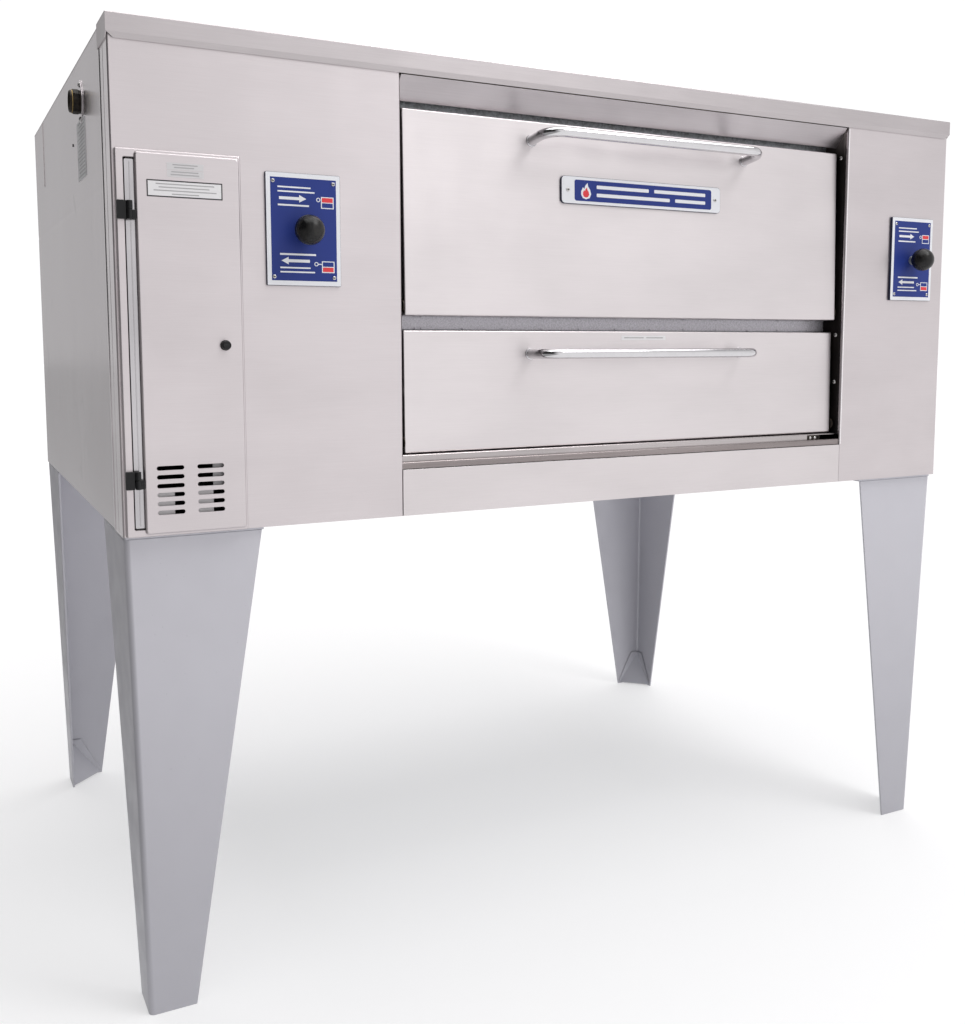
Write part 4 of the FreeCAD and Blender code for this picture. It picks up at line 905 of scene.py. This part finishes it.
def control_compartment():
    """Frame, bright channel in the hinge gap, baffles behind the vents, panel, hinges and latch."""
    control_frame()
    # The base plate round the bright channel is painted shade: near-black, for the shade in the hinge gap.
    slot = Shape().prism(rectangle((15.2, 31), (10.7, 541.8)), "y", -0.35, 0.4, 0)
    steps = ((0, -0.3), (0, -4.4), (0.8, -5.2))
    slot.loft([at_depth(y, inset((16.4, 30.9), (12.4, 540), by, 2)) for by, y in steps], 1)
    slot.prism([(23.2, -5.1), (23.5, -5.6), (24.3, -5.6), (24.6, -5.1)], "z", 16, 536, 1)
    slot.make("slot_channel", [M["painted_shade"], M["channel"]], "stainless")

    comb = [(32, 5), (160, 5), (160, 27), (129, 27), (129, 66), (101, 66), (101, 27), (73, 27), (73, 69),
            (41, 69), (41, 27), (32, 27)]
    baffle = Shape().prism(comb, "y", -6.5, -5.5)
    baffle.prism([(129, 67), (168, 67), (168, 108), (129, 108)], "y", -6.5, -5.5, 1)
    baffle.make("vent_baffle", [M["clear"], M["faint"]], "galvanised")

    control_panel()
    control_hinges()
    latch = Shape().lathe([(-4, 4), (-12.4, 4), (-12.5, 7.8), (-14.2, 7.8), (-14.6, 7.0), (-20.8, 6.7),
                           (-22.2, 6.0), (-22.8, 4.6)], (150.8, 278), "y", 0, 36)
    latch.block((144, 158.8), (-6, -3), (272.5, 283.5))
    latch.prism(rectangle((145.8, 155.8), (277.1, 278.9), 0.8, 3), "y", -23.0, -22.6)
    latch.make("latch_knob", M["black"], "black_plastic", "control_latch", "control_latch", bevel=0.2)


# --- legs ------------------------------------------------------------------------------
def leg(side, end):
    """Bent plate tapering to the foot, mounting pad, folded gusset and bolts."""
    grow_x, grow_y = (1 if side == "left" else -1), (1 if end == "front" else -1)
    x = 2.3 if grow_x > 0 else WIDTH - 2.3
    y = 9.0 if grow_y > 0 else DEPTH - 9.0
    taper, gauge = 16.4, 4.0

    def spot(u, v, z):
        return (x + grow_x * u, y + grow_y * v, z)

    rings = []
    for lean_in, wide, z in ((0, 202.5, LEG_TOP), (taper, 72, FLOOR)):
        section = sheet([(0, wide), (0, 0), (wide, 0)], 9, gauge, 6)
        rings.append([spot(u + lean_in, v + lean_in, z) for u, v in section])
    shape = Shape().loft(rings)
    pad = rectangle((0.5, 206), (0.5, 206), 3)
    shape.loft([[spot(u, v, z) for u, v in pad] for z in (LEG_TOP, 0)])
    foot, reach, top = taper + gauge + 0.2, 66.0, -664.0
    low = FLOOR + 4
    corners = [spot(foot, foot, top), spot(foot + reach, foot, low), spot(foot, foot + reach, low)]
    drop = Vector((-grow_x, -grow_y, -0.8)).normalized() * 2.2
    shape.loft([corners, [tuple(Vector(c) + drop * 0.9) for c in corners]])
    tab = [(0, top), (23, top), (reach - 1, low + 6), (reach - 6, low - 1)]
    for flip in (False, True):
        outline = []
        for t in (0, 1.4):
            outline.append([spot(foot + (t if flip else u), foot + (u if flip else t), z) for u, z in tab])
        shape.loft(outline)
    for u, v in ((60, 110), (110, 60)):
        centre = spot(u, v, 0)
        shape.lathe([(LEG_TOP, 8), (-11, 8), (-12, 7)], centre[:2], "z", 1, 6)
    shape.make(f"leg_{end}_{side}_plate", [M["leg"], M["zinc"]], "leg_paint", replaces=f"leg_{end}_{side}",
               bevel=0.8)


# --- small hardware --------------------------------------------------------------------
def screws():
    """Screws in the jambs, round the back panel and on the flue flange."""
    shape = Shape()
    for x, sign in ((1379, -1), (438, 1)):
        for z in (645.6, 296.6, 202):
            shape.screw(x, 17, z, 4.2, 2.2, 2.2, "x", sign)
    shape.make("jamb_screws", [M["zinc"], M["painted_shade"]], "screw", replaces="fasteners")
    edges = [(x, z) for z in (24, 200, 376, 552, 712) for x in (28, 1629)]
    edges += [(x, z) for x in (330, 600, 1057, 1327) for z in (18, 718)]
    back = Shape()
    for x, z in edges:
        back.screw(x, DEPTH, z, 4.5, 2.2, 2.4, "y", 1)
    for x in (690, 828.5, 967):
        for z in (491, 599):
            back.dome(x, DEPTH, z, 4.0, 2.0, "y", 1)
    back.make("back_screws", [M["zinc"], M["painted_shade"]], "screw")
    flange = Shape()
    for x, z in (((682, 975), (583, 606)), ((682, 975), (484, 500)), ((682, 698.5), (500, 583)),
                 ((958.5, 975), (500, 583))):
        flange.block(x, (DEPTH, DEPTH + 1.5), z)
    flange.make("flue_flange", M["galvanised"], "stainless_bright", bevel=0.3)


dress_cad()
front_panels()
ledge()
cap()
side_panels()
gas_connection()
doors()
name_plate()
dampers()
control_compartment()
for end in ("front", "back"):
    for side in ("left", "right"):
        leg(side, end)
screws()


# --- floor, light and camera -----------------------------------------------------------
HORIZON = 1.04
EYE = Vector((-243.45, -1682.82, 293.8))


def sweep():
    """Matt white floor that glows into the backdrop a few metres out and lights less from the left."""
    g = Graph("studio_floor")
    across = g.node("ShaderNodeSeparateXYZ", {0: g.coords}).outputs["X"]
    far = g.node("ShaderNodeVectorMath", {0: g.coords}, operation="LENGTH").outputs["Value"]
    out = g.ramp(far, 0.8, 3.6, 0.45, 1.0)
    lighting = g.math("SUBTRACT", 1.0, g.node("ShaderNodeLightPath").outputs["Is Camera Ray"])
    shade = g.math("MULTIPLY", lighting, g.ramp(across, -0.8, -1.5, 0.0, 1.0))
    glow = g.ramp(shade, 0.0, 1.0, 1.03, 0.40)
    near = g.mix(shade, (0.92, 0.92, 0.925), (0.22, 0.22, 0.225))
    g.set(Base_Color=g.mix(out, near, (0.0, 0.0, 0.0)), Roughness=0.7, Specular_IOR_Level=0.1,
          Emission_Color=(1.0, 0.995, 1.0, 1.0), Emission_Strength=g.math("MULTIPLY", out, glow))
    return g.material


def floor():
    mesh = bpy.data.meshes.new("floor")
    far = 40.0
    mesh.from_pydata([(-far, -far, 0), (far, -far, 0), (far, far, 0), (-far, far, 0)], [], [(0, 1, 2, 3)])
    piece = bpy.data.objects.new("floor", mesh)
    bpy.context.scene.collection.objects.link(piece)
    mesh.materials.append(sweep())


def studio():
    """A white backdrop whose light falls off towards the left, with a soft overhead bank."""
    world = bpy.data.worlds.new("studio")
    bpy.context.scene.world = world
    g = Graph("studio", world)
    way = g.node("ShaderNodeTexCoord").outputs["Generated"]
    level = g.node("ShaderNodeVectorMath", {0: way, 1: (1, 1, 0)}, operation="MULTIPLY").outputs[0]
    level = g.node("ShaderNodeVectorMath", {0: level}, operation="NORMALIZE").outputs[0]
    height = g.node("ShaderNodeSeparateXYZ", {0: way}).outputs["Z"]
    strength = g.ramp(height, 0.25, 0.85, HORIZON, 0.6)
    # Each row dims the sky about one compass direction, from start to full degrees away from it.
    for degrees, start, full, dim in ((165, 77, 70, 0.50), (190, 78, 38, 0.10), (340, 40, 12, 0.88)):
        a = math.radians(degrees)
        dot = g.node("ShaderNodeVectorMath", {0: level, 1: (math.cos(a), math.sin(a), 0)},
                     operation="DOT_PRODUCT").outputs["Value"]
        dimming = g.ramp(dot, math.cos(math.radians(start)), math.cos(math.radians(full)), 1.0, dim)
        strength = g.math("MULTIPLY", strength, dimming)
    seen = g.node("ShaderNodeLightPath").outputs["Is Camera Ray"]
    background = g.tree.nodes["Background"]
    g.plug(background.inputs["Color"], (1.0, 0.992, 1.0, 1.0))
    g.plug(background.inputs["Strength"], g.ramp(seen, 0.0, 1.0, strength, HORIZON, smooth=False))

    def bank(name, place, aim, size, power, gloss):
        light = bpy.data.lights.new(name, "AREA")
        light.shape = "RECTANGLE"
        light.size, light.size_y = size
        light.energy = power
        light.specular_factor = gloss
        lamp = bpy.data.objects.new(name, light)
        lamp.location = place
        lamp.rotation_euler = (Vector(aim) - Vector(place)).to_track_quat("-Z", "Y").to_euler()
        bpy.context.scene.collection.objects.link(lamp)

    bank("overhead", (0.3, 0.2, 5.0), (0.3, 0.2, 0), (6, 6), 250, 1.0)
    bank("key", (1.8, -3.0, 4.6), (0, -0.3, 0.6), (1.6, 1.6), 55, 0.0)


def camera():
    data = bpy.data.cameras.new("camera")
    data.sensor_fit = "AUTO"
    data.sensor_width = 36.0
    data.lens = 39.285
    data.shift_x = -0.0459
    data.shift_y = -0.0613
    data.clip_end = 200
    piece = bpy.data.objects.new("camera", data)
    yaw, pitch, roll = math.radians(28.45), math.radians(-5.815), math.radians(-0.170)
    forward = Vector((math.sin(yaw) * math.cos(pitch), math.cos(yaw) * math.cos(pitch), math.sin(pitch)))
    facing = forward.to_track_quat("-Z", "Y") @ Quaternion((0, 0, 1), -roll)
    piece.matrix_world = Matrix.Translation(EYE * MM + ORIGIN) @ facing.to_matrix().to_4x4()
    bpy.context.scene.collection.objects.link(piece)
    bpy.context.scene.camera = piece


floor()
studio()
camera()
bpy.context.scene.view_settings.view_transform = "Standard"
bpy.context.view_layer.update()
